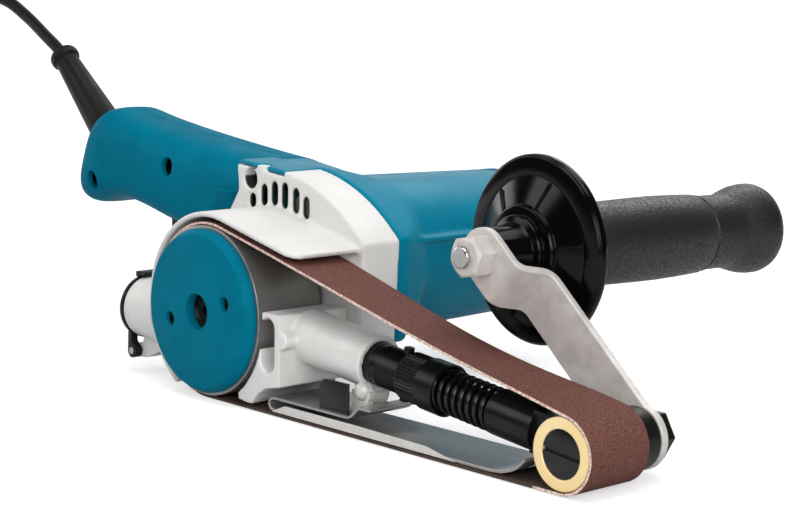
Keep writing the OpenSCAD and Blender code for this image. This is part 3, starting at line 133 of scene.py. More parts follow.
def new_group(name, inputs, outputs):
    tree = bpy.data.node_groups.new(name, "ShaderNodeTree")
    for label, kind, value in inputs:
        socket = tree.interface.new_socket(name=label, in_out="INPUT", socket_type=kind)
        if value is not None:
            socket.default_value = value
    for label, kind in outputs:
        tree.interface.new_socket(name=label, in_out="OUTPUT", socket_type=kind)
    return tree, tree.nodes.new("NodeGroupInput"), tree.nodes.new("NodeGroupOutput")


def make_grain_group():
    """Rounded edges with a fine moulded or cast grain."""
    tree, ins, outs = new_group("grain_and_edge",
        [("Edge", "NodeSocketFloat", 0.0006), ("Grain Scale", "NodeSocketFloat", 1500.0),
         ("Grain Depth", "NodeSocketFloat", 0.2), ("Wave Scale", "NodeSocketFloat", 120.0),
         ("Wave Depth", "NodeSocketFloat", 0.05)],
        [("Normal", "NodeSocketVector")])
    link = tree.links.new
    place = add_node(tree, "ShaderNodeTexCoord")
    edge = add_node(tree, "ShaderNodeBevel", samples=6)
    fine = add_node(tree, "ShaderNodeTexNoise", in_Detail=3.0)
    wave = add_node(tree, "ShaderNodeTexNoise", in_Detail=1.0)
    low = add_node(tree, "ShaderNodeBump", in_Distance=0.001)
    high = add_node(tree, "ShaderNodeBump", in_Distance=0.0002)
    link(ins.outputs["Edge"], edge.inputs["Radius"])
    for texture, scale in ((fine, "Grain Scale"), (wave, "Wave Scale")):
        link(place.outputs["Object"], texture.inputs["Vector"])
        link(ins.outputs[scale], texture.inputs["Scale"])
    link(edge.outputs["Normal"], low.inputs["Normal"])
    link(wave.outputs["Fac"], low.inputs["Height"])
    link(ins.outputs["Wave Depth"], low.inputs["Strength"])
    link(low.outputs["Normal"], high.inputs["Normal"])
    link(fine.outputs["Fac"], high.inputs["Height"])
    link(ins.outputs["Grain Depth"], high.inputs["Strength"])
    link(high.outputs["Normal"], outs.inputs["Normal"])
    return tree


def make_mottle_group():
    """Two tones mixed by a soft noise, with a matching spread for roughness."""
    tree, ins, outs = new_group("mottle",
        [("Tone A", "NodeSocketColor", None), ("Tone B", "NodeSocketColor", None),
         ("Scale", "NodeSocketFloat", 60.0), ("Sharp", "NodeSocketFloat", 0.25),
         ("Rough Low", "NodeSocketFloat", 0.35), ("Rough High", "NodeSocketFloat", 0.5)],
        [("Color", "NodeSocketColor"), ("Rough", "NodeSocketFloat")])
    link = tree.links.new
    place = add_node(tree, "ShaderNodeTexCoord")
    noise = add_node(tree, "ShaderNodeTexNoise", in_Detail=4.0, in_Roughness=0.6)
    spread = add_node(tree, "ShaderNodeMapRange", interpolation_type="SMOOTHSTEP")
    lower = add_node(tree, "ShaderNodeMath", operation="SUBTRACT")
    upper = add_node(tree, "ShaderNodeMath", operation="ADD")
    lower.inputs[0].default_value = 0.5
    upper.inputs[0].default_value = 0.5
    mix = add_node(tree, "ShaderNodeMix", data_type="RGBA")
    rough = add_node(tree, "ShaderNodeMapRange")
    link(place.outputs["Object"], noise.inputs["Vector"])
    link(ins.outputs["Scale"], noise.inputs["Scale"])
    link(ins.outputs["Sharp"], lower.inputs[1])
    link(ins.outputs["Sharp"], upper.inputs[1])
    link(noise.outputs["Fac"], spread.inputs["Value"])
    link(lower.outputs["Value"], spread.inputs["From Min"])
    link(upper.outputs["Value"], spread.inputs["From Max"])
    link(spread.outputs["Result"], mix.inputs["Factor"])
    link(ins.outputs["Tone A"], mix.inputs[6])
    link(ins.outputs["Tone B"], mix.inputs[7])
    link(spread.outputs["Result"], rough.inputs["Value"])
    link(ins.outputs["Rough Low"], rough.inputs["To Min"])
    link(ins.outputs["Rough High"], rough.inputs["To Max"])
    link(mix.outputs[2], outs.inputs["Color"])
    link(rough.outputs["Result"], outs.inputs["Rough"])
    return tree


GRAIN = make_grain_group()
MOTTLE = make_mottle_group()
FINISH = {}


def place_group(tree, group, **values):
    node = tree.nodes.new("ShaderNodeGroup")
    node.node_tree = group
    for key, value in values.items():
        node.inputs[key.replace("_", " ")].default_value = value
    return node


def add_finish(name, tone_a, tone_b, rough, metal=0.0, scale=60.0, sharp=0.25, edge=0.0006,
               grain=(1500.0, 0.2), wave=(120.0, 0.05), specular=0.4, tint=(1.0, 1.0, 1.0, 1.0)):
    """A moulded, cast or metal finish: mottled tone and roughness, fine grain and eased edges."""
    material = bpy.data.materials.new(name)
    material.use_nodes = True
    tree = material.node_tree
    shader = tree.nodes["Principled BSDF"]
    tone = place_group(tree, MOTTLE, Tone_A=srgb(tone_a), Tone_B=srgb(tone_b), Scale=scale, Sharp=sharp,
        Rough_Low=rough[0], Rough_High=rough[1])
    skin = place_group(tree, GRAIN, Edge=edge, Grain_Scale=grain[0], Grain_Depth=grain[1],
        Wave_Scale=wave[0], Wave_Depth=wave[1])
    shader.inputs["Metallic"].default_value = metal
    shader.inputs["Specular IOR Level"].default_value = specular
    shader.inputs["Specular Tint"].default_value = tint
    tree.links.new(tone.outputs["Color"], shader.inputs["Base Color"])
    tree.links.new(tone.outputs["Rough"], shader.inputs["Roughness"])
    tree.links.new(skin.outputs["Normal"], shader.inputs["Normal"])
    material.diffuse_color = srgb(tone_a)
    FINISH[name] = material


add_finish("teal_plastic", "00708a", "006982", (0.44, 0.52), specular=0.012, grain=(1800.0, 0.12))
# A lighter copy of the teal plastic for the motor barrel: painted light on its top, with teal-tinted
# highlights
add_finish("teal_barrel_lit", "007a96", "00738e", (0.4, 0.48), specular=0.2, tint=(0.12, 0.8, 1.0, 1.0),
    grain=(1800.0, 0.12))
add_finish("teal_disc", "007089", "006881", (0.4, 0.48), specular=0.02, grain=(1600.0, 0.14))
add_finish("white_cast", "dcdbd9", "d5d4d1", (0.42, 0.52), edge=0.0009, grain=(900.0, 0.15),
    wave=(180.0, 0.06), specular=0.3)
add_finish("white_plastic", "dcdbd9", "d5d4d1", (0.38, 0.46), specular=0.3)
add_finish("bare_aluminium", "e6e5e3", "dcdbd8", (0.4, 0.5), metal=0.15, edge=0.0008,
    grain=(1100.0, 0.25), wave=(150.0, 0.08), specular=0.5)
add_finish("turned_steel", "c9c8c7", "b7b6b5", (0.2, 0.32), metal=1.0, edge=0.0003)
add_finish("dark_steel", "1c1c1d", "121213", (0.24, 0.36), metal=0.3, edge=0.0003, specular=0.3)
add_finish("strip_steel", "dad5d1", "c2bcb8", (0.38, 0.5), metal=0.3, edge=0.0004, scale=140.0,
    grain=(2200.0, 0.35))
add_finish("sheet_steel", "b4b2b0", "a5a3a1", (0.3, 0.36), metal=0.8, edge=0.0002,
    wave=(60.0, 0.02))
add_finish("shoe_lip", "dddbd8", "d0cecb", (0.42, 0.5), metal=0.25, edge=0.0002, scale=300.0)
# A dark copy of the sheet steel for the shoe's tab: painted shade
add_finish("shoe_tab_shade", "3e3a38", "322f2d", (0.3, 0.4), metal=0.7, edge=0.0002)
add_finish("bearing_steel", "cfd0d2", "bdbec0", (0.15, 0.25), metal=1.0)
add_finish("gear_steel", "a5a5a8", "919194", (0.25, 0.4), metal=1.0)
add_finish("core_steel", "77777a", "626266", (0.35, 0.5), metal=0.9)
add_finish("copper", "b8754a", "9c5c36", (0.25, 0.4), metal=0.9)
add_finish("brass", "cfa95a", "b8913f", (0.25, 0.4), metal=1.0)
add_finish("carbon", "3a3a3c", "2c2c2e", (0.55, 0.7))
add_finish("black_plastic", "131314", "0d0d0e", (0.3, 0.42), specular=0.28)
add_finish("black_axle", "141416", "0e0e10", (0.2, 0.3), edge=0.0004, specular=0.4)
add_finish("grip_plastic", "060607", "040405", (0.1, 0.15), specular=0.2, grain=(2400.0, 0.1))
add_finish("grip_body", "1d1d1e", "0a0a0b", (0.36, 0.6), specular=0.6, scale=900.0, sharp=0.12,
    grain=(1100.0, 1.0))
add_finish("black_rubber", "161617", "101011", (0.4, 0.54), specular=0.2, grain=(1200.0, 0.2))
add_finish("tie_fabric", "1f1f20", "151516", (0.8, 0.95), grain=(3000.0, 0.8))
add_finish("gold_roller", "ffe6b0", "fadb98", (0.28, 0.36), metal=0.3, edge=0.0003,
    wave=(120.0, 0.01))
add_finish("pulley_metal", "b4b2af", "a6a4a1", (0.32, 0.38), metal=0.85, grain=(1500.0, 0.02),
    wave=(60.0, 0.0))
add_finish("spring_wire", "3a3735", "262422", (0.16, 0.24), metal=0.8, edge=0.0001, specular=0.7)
add_finish("belt_cloth", "54423a", "40322c", (0.85, 0.95), scale=900.0, edge=0.0001,
    grain=(1800.0, 0.8))
add_finish("belt_edge", "ecd6cc", "bc988b", (0.85, 0.95), scale=1500.0, sharp=0.08, edge=0.0001,
    grain=(2500.0, 1.0))
add_finish("abrasive", "7f544a", "432722", (0.75, 0.95), scale=2600.0, sharp=0.16, edge=0.0002,
    grain=(2600.0, 1.0), specular=0.2)
ARCH_CENTRE = at(-4, 0, 6)
# Dark tone painted as shade on the casting inside the gear chamber
CHAMBER_SHADE_TONE = srgb("3a3634")


def paint_chamber_shade(material):
    """Painted shade: a dark tone on the casting inside the gear chamber, which shows in the vents."""
    tree = material.node_tree
    link = tree.links.new
    shader = tree.nodes["Principled BSDF"]
    tone = shader.inputs["Base Color"].links[0].from_socket
    place = tree.nodes.new("ShaderNodeTexCoord")
    parts = tree.nodes.new("ShaderNodeSeparateXYZ")
    move = add_node(tree, "ShaderNodeVectorMath", operation="SUBTRACT")
    move.inputs[1].default_value = ARCH_CENTRE
    flat = add_node(tree, "ShaderNodeVectorMath", operation="MULTIPLY")
    flat.inputs[1].default_value = (1, 0, 1)
    reach = add_node(tree, "ShaderNodeVectorMath", operation="LENGTH")
    link(place.outputs["Object"], parts.inputs["Vector"])
    link(place.outputs["Object"], move.inputs[0])
    link(move.outputs["Vector"], flat.inputs[0])
    link(flat.outputs["Vector"], reach.inputs[0])
    # Each row fades the painted shade in, from its first number to its second
    limits = (
        (parts.outputs["Y"], 0.0187, 0.0193),
        (parts.outputs["Z"], 0.05, 0.056),
        (reach.outputs["Value"], 0.0815, 0.0805),
        (parts.outputs["X"], at(-28, 0, 0).x, at(-27, 0, 0).x),
        (parts.outputs["X"], at(52, 0, 0).x, at(51, 0, 0).x),
    )
    mask = None
    for value, low, high in limits:
        step = add_node(tree, "ShaderNodeMapRange", interpolation_type="SMOOTHSTEP")
        step.inputs["From Min"].default_value = low
        step.inputs["From Max"].default_value = high
        link(value, step.inputs["Value"])
        if mask is None:
            mask = step.outputs["Result"]
            continue
        both = add_node(tree, "ShaderNodeMath", operation="MULTIPLY")
        link(mask, both.inputs[0])
        link(step.outputs["Result"], both.inputs[1])
        mask = both.outputs["Value"]
    mix = add_node(tree, "ShaderNodeMix", data_type="RGBA")
    mix.inputs[7].default_value = CHAMBER_SHADE_TONE
    link(mask, mix.inputs["Factor"])
    link(tone, mix.inputs[6])
    link(mix.outputs[2], shader.inputs["Base Color"])


paint_chamber_shade(FINISH["white_cast"])
for row in frame["record"]["subparts"]:
    mesh = nodes[row["node"]].data
    mesh.materials.clear()
    mesh.materials.append(FINISH[row["material_slot"]])


# Mesh helpers
FLAT_ANGLE = math.radians(0.6)
EASE_ANGLE = 32.0
EASE_SMOOTH = 24.0


def finish_piece(bm, name, finishes, body, stands_for=(), smooth=35.0):
    """The bmesh as an object that rides on a body, in one finish or several."""
    bmesh.ops.remove_doubles(bm, verts=bm.verts, dist=1e-6)
    bmesh.ops.recalc_face_normals(bm, faces=bm.faces)
    mesh = bpy.data.meshes.new(name)
    bm.to_mesh(mesh)
    bm.free()
    return finish_mesh(mesh, name, finishes, body, stands_for, smooth)


def finish_mesh(mesh, name, finishes, body, stands_for=(), smooth=35.0):
    """The mesh as an object with its finishes, body and replaced nodes."""
    mesh.shade_smooth()
    mesh.set_sharp_from_angle(angle=math.radians(smooth))
    for i, finish in enumerate(finishes):
        if i < len(mesh.materials):
            mesh.materials[i] = FINISH[finish]
        else:
            mesh.materials.append(FINISH[finish])
    piece = bpy.data.objects.new(name, mesh)
    scene.collection.objects.link(piece)
    if body:
        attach(piece, body)
    if stands_for:
        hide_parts(*stands_for)
    return piece


def merged_copy(node):
    """A node's mesh with its loose triangles joined."""
    bm = bmesh.new()
    bm.from_mesh(nodes[node].data)
    bmesh.ops.remove_doubles(bm, verts=bm.verts, dist=2e-6)
    return bm


def with_modifiers(bm, *settings, slots=0):
    """The bmesh after a row of modifiers, as a plain mesh."""
    mesh = bpy.data.meshes.new("work")
    bm.to_mesh(mesh)
    bm.free()
    for _ in range(slots):
        mesh.materials.append(None)
    work = bpy.data.objects.new("work", mesh)
    scene.collection.objects.link(work)
    for kind, values in settings:
        modifier = work.modifiers.new(kind.lower(), kind)
        for key, value in values.items():
            setattr(modifier, key, value)
    ready = work.evaluated_get(bpy.context.evaluated_depsgraph_get())
    result = bpy.data.meshes.new_from_object(ready)
    bpy.data.objects.remove(work)
    bpy.data.meshes.remove(mesh)
    return result


def soft_copy(node, name, finish, voxel, rounds):
    """A cast or moulded node with its edges and inner corners rounded."""
    remesh = ("REMESH", {"mode": "VOXEL", "voxel_size": voxel / 1000.0, "adaptivity": 0.0})
    smooth = ("SMOOTH", {"factor": 0.5, "iterations": rounds})
    mesh = with_modifiers(merged_copy(node), remesh, smooth)
    return finish_mesh(mesh, name, [finish], "frame", [node], 60.0)


def flat_copy(node):
    """A merged copy of a node with its flat faces joined."""
    bm = merged_copy(node)
    bmesh.ops.dissolve_limit(bm, angle_limit=FLAT_ANGLE, verts=bm.verts, edges=bm.edges)
    return bm


def bevel_step(width, angle=EASE_ANGLE):
    """Modifier settings that round the edges sharper than an angle in degrees."""
    return ("BEVEL", {"width": width / 1000.0, "segments": 2, "limit_method": "ANGLE",
        "angle_limit": math.radians(angle), "use_clamp_overlap": True})


def eased_copy(node, name, finish, width, body="frame"):
    """A machined node with its edges broken by a small bevel, or unbevelled where the width is 0."""
    if width:
        mesh = with_modifiers(flat_copy(node), bevel_step(width))
    else:
        mesh = with_modifiers(merged_copy(node))
    return finish_mesh(mesh, name, [finish], body, [node], EASE_SMOOTH)


def turned(bm, profile, origin, axis, side, steps):
    """A turned shape: the profile's pairs are radius and place along the axis, in millimetres."""
    axis, side = Vector(axis).normalized(), Vector(side).normalized()
    row = [bm.verts.new(origin + side * (r / 1000.0) + axis * (s / 1000.0)) for r, s in profile]
    edges = [bm.edges.new(pair) for pair in zip(row, row[1:])]
    bmesh.ops.spin(bm, geom=row + edges, cent=origin, axis=axis, angle=2 * math.pi, steps=steps,
        use_merge=True, use_duplicate=False)


def plate(bm, outline, low, high, along=(0, 1, 0)):
    """A flat outline of points in the frame, pushed along a direction between two places in millimetres."""
    push = Vector(along).normalized()
    face = bm.faces.new([bm.verts.new(p + push * (low / 1000.0)) for p in outline])
    out = bmesh.ops.extrude_face_region(bm, geom=[face])
    moved = [v for v in out["geom"] if isinstance(v, bmesh.types.BMVert)]
    bmesh.ops.translate(bm, verts=moved, vec=push * ((high - low) / 1000.0))


# Cord, coil and plug
CORD_PATH = [(-240.5, 62, 135.8), (-257.5, 61.5, 145), (-274, 59.5, 152.4), (-290, 54.5, 154.6),
             (-304.5, 47, 149), (-314.5, 39.5, 136), (-319, 32, 116), (-320.3, 24.5, 92),
             (-320, 17, 67), (-319, 8, 44.5), (-318.3, -3, 29.6)]
COIL_X, COIL_Y, COIL_R = -277.0, -14.0, 34.5
COIL_PITCH, COIL_LAYERS, COIL_LOOPS = 6.6, 4, 8.25
COIL_PER = COIL_LOOPS / COIL_LAYERS
STRAP_TURN = math.radians(60)


def coil_point(turn):
    """The spiral runs in and out, and steps down a layer where it turns back."""
    layer = math.floor(turn / COIL_PER)
    part = turn / COIL_PER - layer
    reach = 1 - part if layer % 2 == 0 else part
    steps = sum(min(1.0, max(0.0, (turn - k * COIL_PER + 0.25) / 0.5)) for k in range(1, COIL_LAYERS))
    r = COIL_R + (reach - 0.5) * COIL_PER * COIL_PITCH
    a = math.pi + 2 * math.pi * turn
    z = 4.2 + (COIL_LAYERS - 1 - steps) * COIL_PITCH
    return (COIL_X + r * math.cos(a), COIL_Y + r * math.sin(a), z)


def make_cord():
    count = int(COIL_LOOPS * 24)
    turns = [coil_point(i * COIL_LOOPS / count) for i in range(count + 1)]
    end = turns[-1]
    tail = []
    for i in range(1, 9):
        t = min(1.0, i / 7)
        tail.append((end[0] + 26 * i / 8, end[1], end[2] + (8 - end[2]) * t * t * (3 - 2 * t)))
    line = [guard_at(s) for s in (-1.6, 8, 20, 36, 52, 67)] + CORD_PATH + turns + tail
    curve = bpy.data.curves.new("mains_cord", "CURVE")
    curve.dimensions = "3D"
    curve.bevel_depth = CORD_R / 1000.0
    curve.bevel_resolution = 4
    curve.resolution_u = 4
    curve.use_fill_caps = True
    spline = curve.splines.new("BEZIER")
    spline.bezier_points.add(len(line) - 1)
    for point, place in zip(spline.bezier_points, line):
        point.co = at(*place)
        point.handle_left_type = "AUTO"
        point.handle_right_type = "AUTO"
    curve.materials.append(FINISH["black_rubber"])
    piece = bpy.data.objects.new("mains_cord", curve)
    scene.collection.objects.link(piece)
    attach(piece, "frame")
    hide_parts("cord", "cord_coil")


def make_strap():
    """A fabric strap round one side of the coil, with its end lapped over the top."""
    bm = bmesh.new()
    turn = Matrix.Rotation(STRAP_TURN, 3, "Z")
    centre = at(COIL_X, COIL_Y, 0) + turn @ Vector((COIL_R / 1000.0, 0, 0))

    def point(x, y, z):
        return centre + turn @ Vector((x, y, z)) / 1000.0

    corners = ((-11.2, 0.1), (11.2, 0.1), (11.2, 28.9), (-11.2, 28.9))
    ring = [bm.verts.new(point(x, -5, z)) for x, z in corners]
    for one, two in zip(ring, ring[1:] + ring[:1]):
        bm.edges.new((one, two))
    bmesh.ops.bevel(bm, geom=ring, offset=0.0025, segments=4, profile=0.5, affect="VERTICES", material=-1)
    out = bmesh.ops.extrude_edge_only(bm, edges=bm.edges[:])["geom"]
    moved = [v for v in out if isinstance(v, bmesh.types.BMVert)]
    bmesh.ops.translate(bm, verts=moved, vec=turn @ Vector((0, 0.01, 0)))
    bmesh.ops.recalc_face_normals(bm, faces=bm.faces)
    bm.faces.ensure_lookup_table()
    if bm.faces[0].normal.dot(bm.faces[0].calc_center_median() - point(0, 0, 14.5)) < 0:
        bmesh.ops.reverse_faces(bm, faces=bm.faces)
    mesh = with_modifiers(bm, ("SOLIDIFY", {"thickness": 0.0009, "offset": -1.0}))
    bm = bmesh.new()
    bm.from_mesh(mesh)
    lap = [point(x, y, 0) for x, y in ((-8, -4.8), (7, -4.8), (7, 4.8), (-8, 4.8))]
    plate(bm, lap, 28.7, 29.8, (0, 0, 1))
    return finish_piece(bm, "cord_strap", ["tie_fabric"], "frame", ["cord_tie"])


# Belt, spring and tension tube
ARM = Vector((math.cos(ARM_TILT), 0, -math.sin(ARM_TILT)))
ARM_UP = Vector((math.sin(ARM_TILT), 0, math.cos(ARM_TILT)))
SIDE = Vector((0, 1, 0))


def make_belt():
    """One closed strip round both pulleys, thickened inwards."""
    bm = bmesh.new()
    drive, idler = DRIVE_Z, IDLER_Z
    ends = [bm.verts.new(at(drive * math.cos(TOP_ANGLE), y, DRIVE_Z + drive * math.sin(TOP_ANGLE)))
            for y in (BELT_NEAR, BELT_FAR)]
    row = ends + [bm.edges.new(ends)]
    top = idler * Vector((math.cos(TOP_ANGLE), 0, math.sin(TOP_ANGLE))) / 1000.0 + at(RUN, 0, IDLER_Z)
    first = at(drive * math.cos(TOP_ANGLE), 0, DRIVE_Z + drive * math.sin(TOP_ANGLE))

    def turn(row, centre, angle, steps):
        out = bmesh.ops.spin(bm, geom=row, cent=centre, axis=(0, -1, 0), angle=angle, steps=steps)
        return out["geom_last"]

    def run(row, way, steps):
        for _ in range(steps):
            edges = [e for e in row if isinstance(e, bmesh.types.BMEdge)]
            row = bmesh.ops.extrude_edge_only(bm, edges=edges)["geom"]
            verts = [v for v in row if isinstance(v, bmesh.types.BMVert)]
            bmesh.ops.translate(bm, verts=verts, vec=way / steps)
            row = verts + [e for e in bm.edges if e.verts[0] in verts and e.verts[1] in verts]
        return row

    row = turn(row, at(0, 0, DRIVE_Z), 1.5 * math.pi - TOP_ANGLE, 64)
    row = run(row, Vector((RUN / 1000.0, 0, 0)), 16)
    row = turn(row, at(RUN, 0, IDLER_Z), TOP_ANGLE + 0.5 * math.pi, 40)
    run(row, first - top, 40)
    bmesh.ops.remove_doubles(bm, verts=bm.verts, dist=2e-6)
    line = at(RUN, 0, IDLER_Z) - at(0, 0, DRIVE_Z)
    for vert in bm.verts:
        part = (vert.co.x - first.x) / (top.x - first.x)
        above = (vert.co - at(0, 0, DRIVE_Z)).cross(line).y
        if 0 < part < 1 and above > 0:
            across = (vert.co.y * 1000.0 - BELT_NEAR) / (BELT_FAR - BELT_NEAR)
            slack = SLACK_NEAR + (SLACK_FAR - SLACK_NEAR) * across
            vert.co.z -= slack / 1000.0 * math.sin(math.pi * part ** 1.5) ** 1.5
    bmesh.ops.recalc_face_normals(bm, faces=bm.faces)
    bm.faces.ensure_lookup_table()
    if bm.faces[0].normal.dot(bm.faces[0].calc_center_median() - at(0, 0, DRIVE_Z)) < 0:
        bmesh.ops.reverse_faces(bm, faces=bm.faces)
    mesh = with_modifiers(bm, ("SOLIDIFY", {"thickness": BELT_T / 1000.0, "offset": -1.0,
        "material_offset": 1, "material_offset_rim": 2}), slots=3)
    piece = finish_mesh(mesh, "grit_belt", ["abrasive", "belt_cloth", "belt_edge"], None,
        ["abrasive_belt"], 30.0)
    # The rim of the lower run takes the darker cloth finish instead of the pale edge: painted shade on that
    # rim.
    for face in mesh.polygons:
        shaded_lower_run = face.center.z < 0.0012 and face.center.x < at(184, 0, 0).x
        if shaded_lower_run and face.material_index == 2:
            face.material_index = 1
    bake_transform(piece)


def make_spring():
    """A round wire swept along the arm between the nut and the plunger's shoulder."""
    bm = bmesh.new()
    start, turns, steps = on_arm(118.5), 8.5, 32
    wire, reach, length = 0.9, 7.35, 30.0
    ring = bmesh.ops.create_circle(bm, segments=12, radius=wire / 1000.0)["verts"]
    face = Matrix((ARM_UP, ARM, SIDE)).transposed().to_4x4()
    face.translation = start + ARM_UP * (reach / 1000.0)
    bmesh.ops.transform(bm, matrix=face, verts=ring)
    rise = length / 1000.0 / (turns * steps)
    edges = bm.edges[:]
    bm.faces.new(ring)
    last = bmesh.ops.spin(bm, geom=list(ring) + edges, cent=start, axis=ARM, dvec=ARM * rise,
        angle=2 * math.pi * turns, steps=int(turns * steps))["geom_last"]
    bmesh.ops.edgeloop_fill(bm, edges=[e for e in last if isinstance(e, bmesh.types.BMEdge)])
    piece = finish_piece(bm, "coil_spring", ["spring_wire"], None, ["tension_spring"], 50.0)
    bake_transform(piece)


def make_tube():
    """The threaded tube between the arm's boss and the tension nut."""
    bm = bmesh.new()
    profile = [(5.9, 52), (8, 52), (8, 88.4), (7.7, 88.8), (7.7, 89.4), (8, 89.8), (8, 91.2)]
    for i in range(13):
        profile += [(7.55, 91.6 + 0.9 * i), (8, 92.05 + 0.9 * i)]
    profile += [(8, 112), (5.9, 112), (5.9, 52)]
    turned(bm, profile, on_arm(0), ARM, SIDE, 72)
    finish_piece(bm, "threaded_tube", ["dark_steel"], "frame", ["tension_tube"], 30.0)


make_belt()
make_spring()
make_tube()

# Castings and mouldings
soft_copy("gear_housing", "cast_gear_housing", "white_cast", 0.68, 4)
soft_copy("arm_bracket", "cast_arm_bracket", "bare_aluminium", 0.5, 4)
# The barrel takes the lighter teal copy: painted light
soft_copy("motor_housing", "moulded_motor_housing", "teal_barrel_lit", 0.95, 9)

# Handle halves
HANDLE = [(-44, 44, 88.4, 24, 0), (-60, 45, 89.9, 23.5, 0), (-85, 49, 92.7, 22.6, 0),
          (-113, 54.5, 96, 22, 0.03), (-135, 60, 98.9, 21.6, 0.09), (-150, 61.3, 101.1, 21.5, 0.17),
          (-162, 57.6, 103.2, 21.4, 0.28), (-168.6, 56.4, 104.2, 21, 0.34), (-175.2, 57.4, 103, 19.6, 0.38),
          (-180, 60.6, 99.4, 16.8, 0.4), (-183, 66.4, 93.4, 11.8, 0.4), (-184, 72, 87, 6, 0.4)]
HANDLE_SCREWS = [(-167.2, 69.3), (-104.6, 80.6), (-66, 60)]


def handle_skin():
    """The handle's outer skin, drawn through its sections."""
    bm = bmesh.new()
    rings = []
    for x, low, high, half, lean in HANDLE:
        ring = bmesh.ops.create_circle(bm, segments=40, radius=1.0)["verts"]
        middle, tall = (low + high) / 2, (high - low) / 2
        for vert in ring:
            across, up = (math.copysign(abs(c) ** 0.62, c) for c in vert.co[:2])
            vert.co = at(x + lean * up * tall, PART_Y + half * across, middle + tall * up)
        bm.edges.ensure_lookup_table()
        rings.append(bm.edges[-len(ring):])
    for one, two in zip(rings, rings[1:]):
        bmesh.ops.bridge_loops(bm, edges=one + two)
    bmesh.ops.edgeloop_fill(bm, edges=rings[-1])
    bmesh.ops.recalc_face_normals(bm, faces=bm.faces)
    return with_modifiers(bm, ("SUBSURF", {"levels": 2, "render_levels": 2}))


def cutter(name, build):
    """A hidden shape that cuts an opening and is removed after use."""
    bm = bmesh.new()
    build(bm)
    bmesh.ops.remove_doubles(bm, verts=bm.verts, dist=1e-6)
    bmesh.ops.recalc_face_normals(bm, faces=bm.faces)
    mesh = bpy.data.meshes.new(name)
    bm.to_mesh(mesh)
    bm.free()
    obj = bpy.data.objects.new(name, mesh)
    scene.collection.objects.link(obj)
    return obj


def rod(bm, x, z, low, high, r):
    """A closed round bar across the tool."""
    turned(bm, [(0, low), (r, low), (r, high), (0, high)], at(x, 0, z), (0, 1, 0), (1, 0, 0), 40)


def make_handle():
    """Both halves of the handle, cut from one skin at the parting plane."""
    skin = handle_skin()
    guard = Vector((-math.cos(GUARD_TILT), 0, math.sin(GUARD_TILT)))

    def openings(bm):
        for x, z in HANDLE_SCREWS:
            rod(bm, x, z, 20, 50, 4.3)
        turned(bm, [(0, -8), (8.85, -8), (8.85, 40), (0, 40)], at(*guard_at(0)), guard, (0, 1, 0), 48)
        low, high = at(-122.4, 54.6, 36), at(-87.6, 69.4, 60)
        bmesh.ops.create_cube(bm, size=1.0, matrix=Matrix.LocRotScale((low + high) / 2, None, high - low))
        rod(bm, -119, 80, 72, 100, 5.2)

    tool = cutter("handle_openings", openings)
    for side, node in ((-1, "handle_near"), (1, "handle_far")):
        bm = bmesh.new()
        bm.from_mesh(skin)
        bmesh.ops.bisect_plane(bm, geom=bm.verts[:] + bm.edges[:] + bm.faces[:], dist=1e-7,
            plane_co=at(0, PART_Y + side * 0.06, 0), plane_no=(0, -side, 0), clear_outer=True)
        bmesh.ops.remove_doubles(bm, verts=bm.verts, dist=2e-5)
        bmesh.ops.dissolve_degenerate(bm, dist=1e-5, edges=bm.edges)
        cut = {"object": tool, "operation": "DIFFERENCE", "solver": "EXACT", "use_self": True}
        mesh = with_modifiers(bm, ("SOLIDIFY", {"thickness": 0.003, "offset": -1.0}), ("BOOLEAN", cut),
            bevel_step(0.4, 50.0))
        finish_mesh(mesh, node + "_half", ["teal_plastic"], "frame", [node], 40.0)
    bpy.data.objects.remove(tool)


def make_pad():
    """The raised block on the near half, beside the gear housing."""
    bm = bmesh.new()
    plate(bm, [at(-60.6, 0, 75), at(-50, 0, 75), at(-50, 0, 66), at(-67.2, 0, 66)], 34.8, 41)
    for vert in bm.verts:
        if vert.co.y < 0.036 and vert.co.z < 0.07:
            vert.co.y += 0.0032
    bmesh.ops.recalc_face_normals(bm, faces=bm.faces)
    bmesh.ops.bevel(bm, geom=bm.edges[:], offset=0.0005, segments=2, profile=0.5, affect="EDGES",
        material=-1)
    finish_piece(bm, "handle_pad", ["teal_plastic"], "frame")


make_handle()
make_pad()

# Machined and small parts with broken edges
for node, finish, width, body in (
        ("drive_pulley", "pulley_metal", 0, "pulley"),
        ("idler_rollers", "gold_roller", 0.5, "rollers"), ("idler_axle", "black_axle", 0.3, "plunger"),
        ("axle_spacer", "black_plastic", 0.5, "plunger"), ("tension_plunger", "dark_steel", 0.5, "plunger"),
        ("stop_pin", "dark_steel", 0.4, "frame"),
        ("grip_bracket", "strip_steel", 0.5, "grip"),
        ("bracket_bolt", "dark_steel", 0.5, "grip"),
        ("grip_stud", "turned_steel", 0.6, "grip"), ("dust_nozzle", "white_plastic", 0.6, "frame"),
        ("dust_cap", "black_plastic", 0.4, "cap"), ("cord_guard", "black_rubber", 0.5, "frame"),
        ("rear_cover", "teal_plastic", 1.0, "frame"), ("trigger", "black_plastic", 1.0, "trigger"),
        ("lock_button", "black_plastic", 0.5, "lock"), ("speed_dial", "black_plastic", 0.3, "dial"),
        ("brush_caps", "black_plastic", 0.4, "frame")):
    eased_copy(node, node + "_eased", finish, width, body)


# Belt shoe, its pin and the pulley's face plate
SHOE_CORNER = at(66, 0, 18.6)
SHOE_LIP = [(40.6, 1.5), (48.4, 4.8), (90, 4.8), (127, 4.3), (142, 1.5)]
CLIP_SHIFT = Vector((0.0026, 0, 0.0029))
DISC_SCALE = 0.976
DISC_BACK = -0.0162
DISC_PROUD = 1.35


def place_in_mm(co):
    """A point of the frame in millimetres from the drive axis."""
    return co.x * 1000.0 + RUN / 2, co.y * 1000.0, co.z * 1000.0


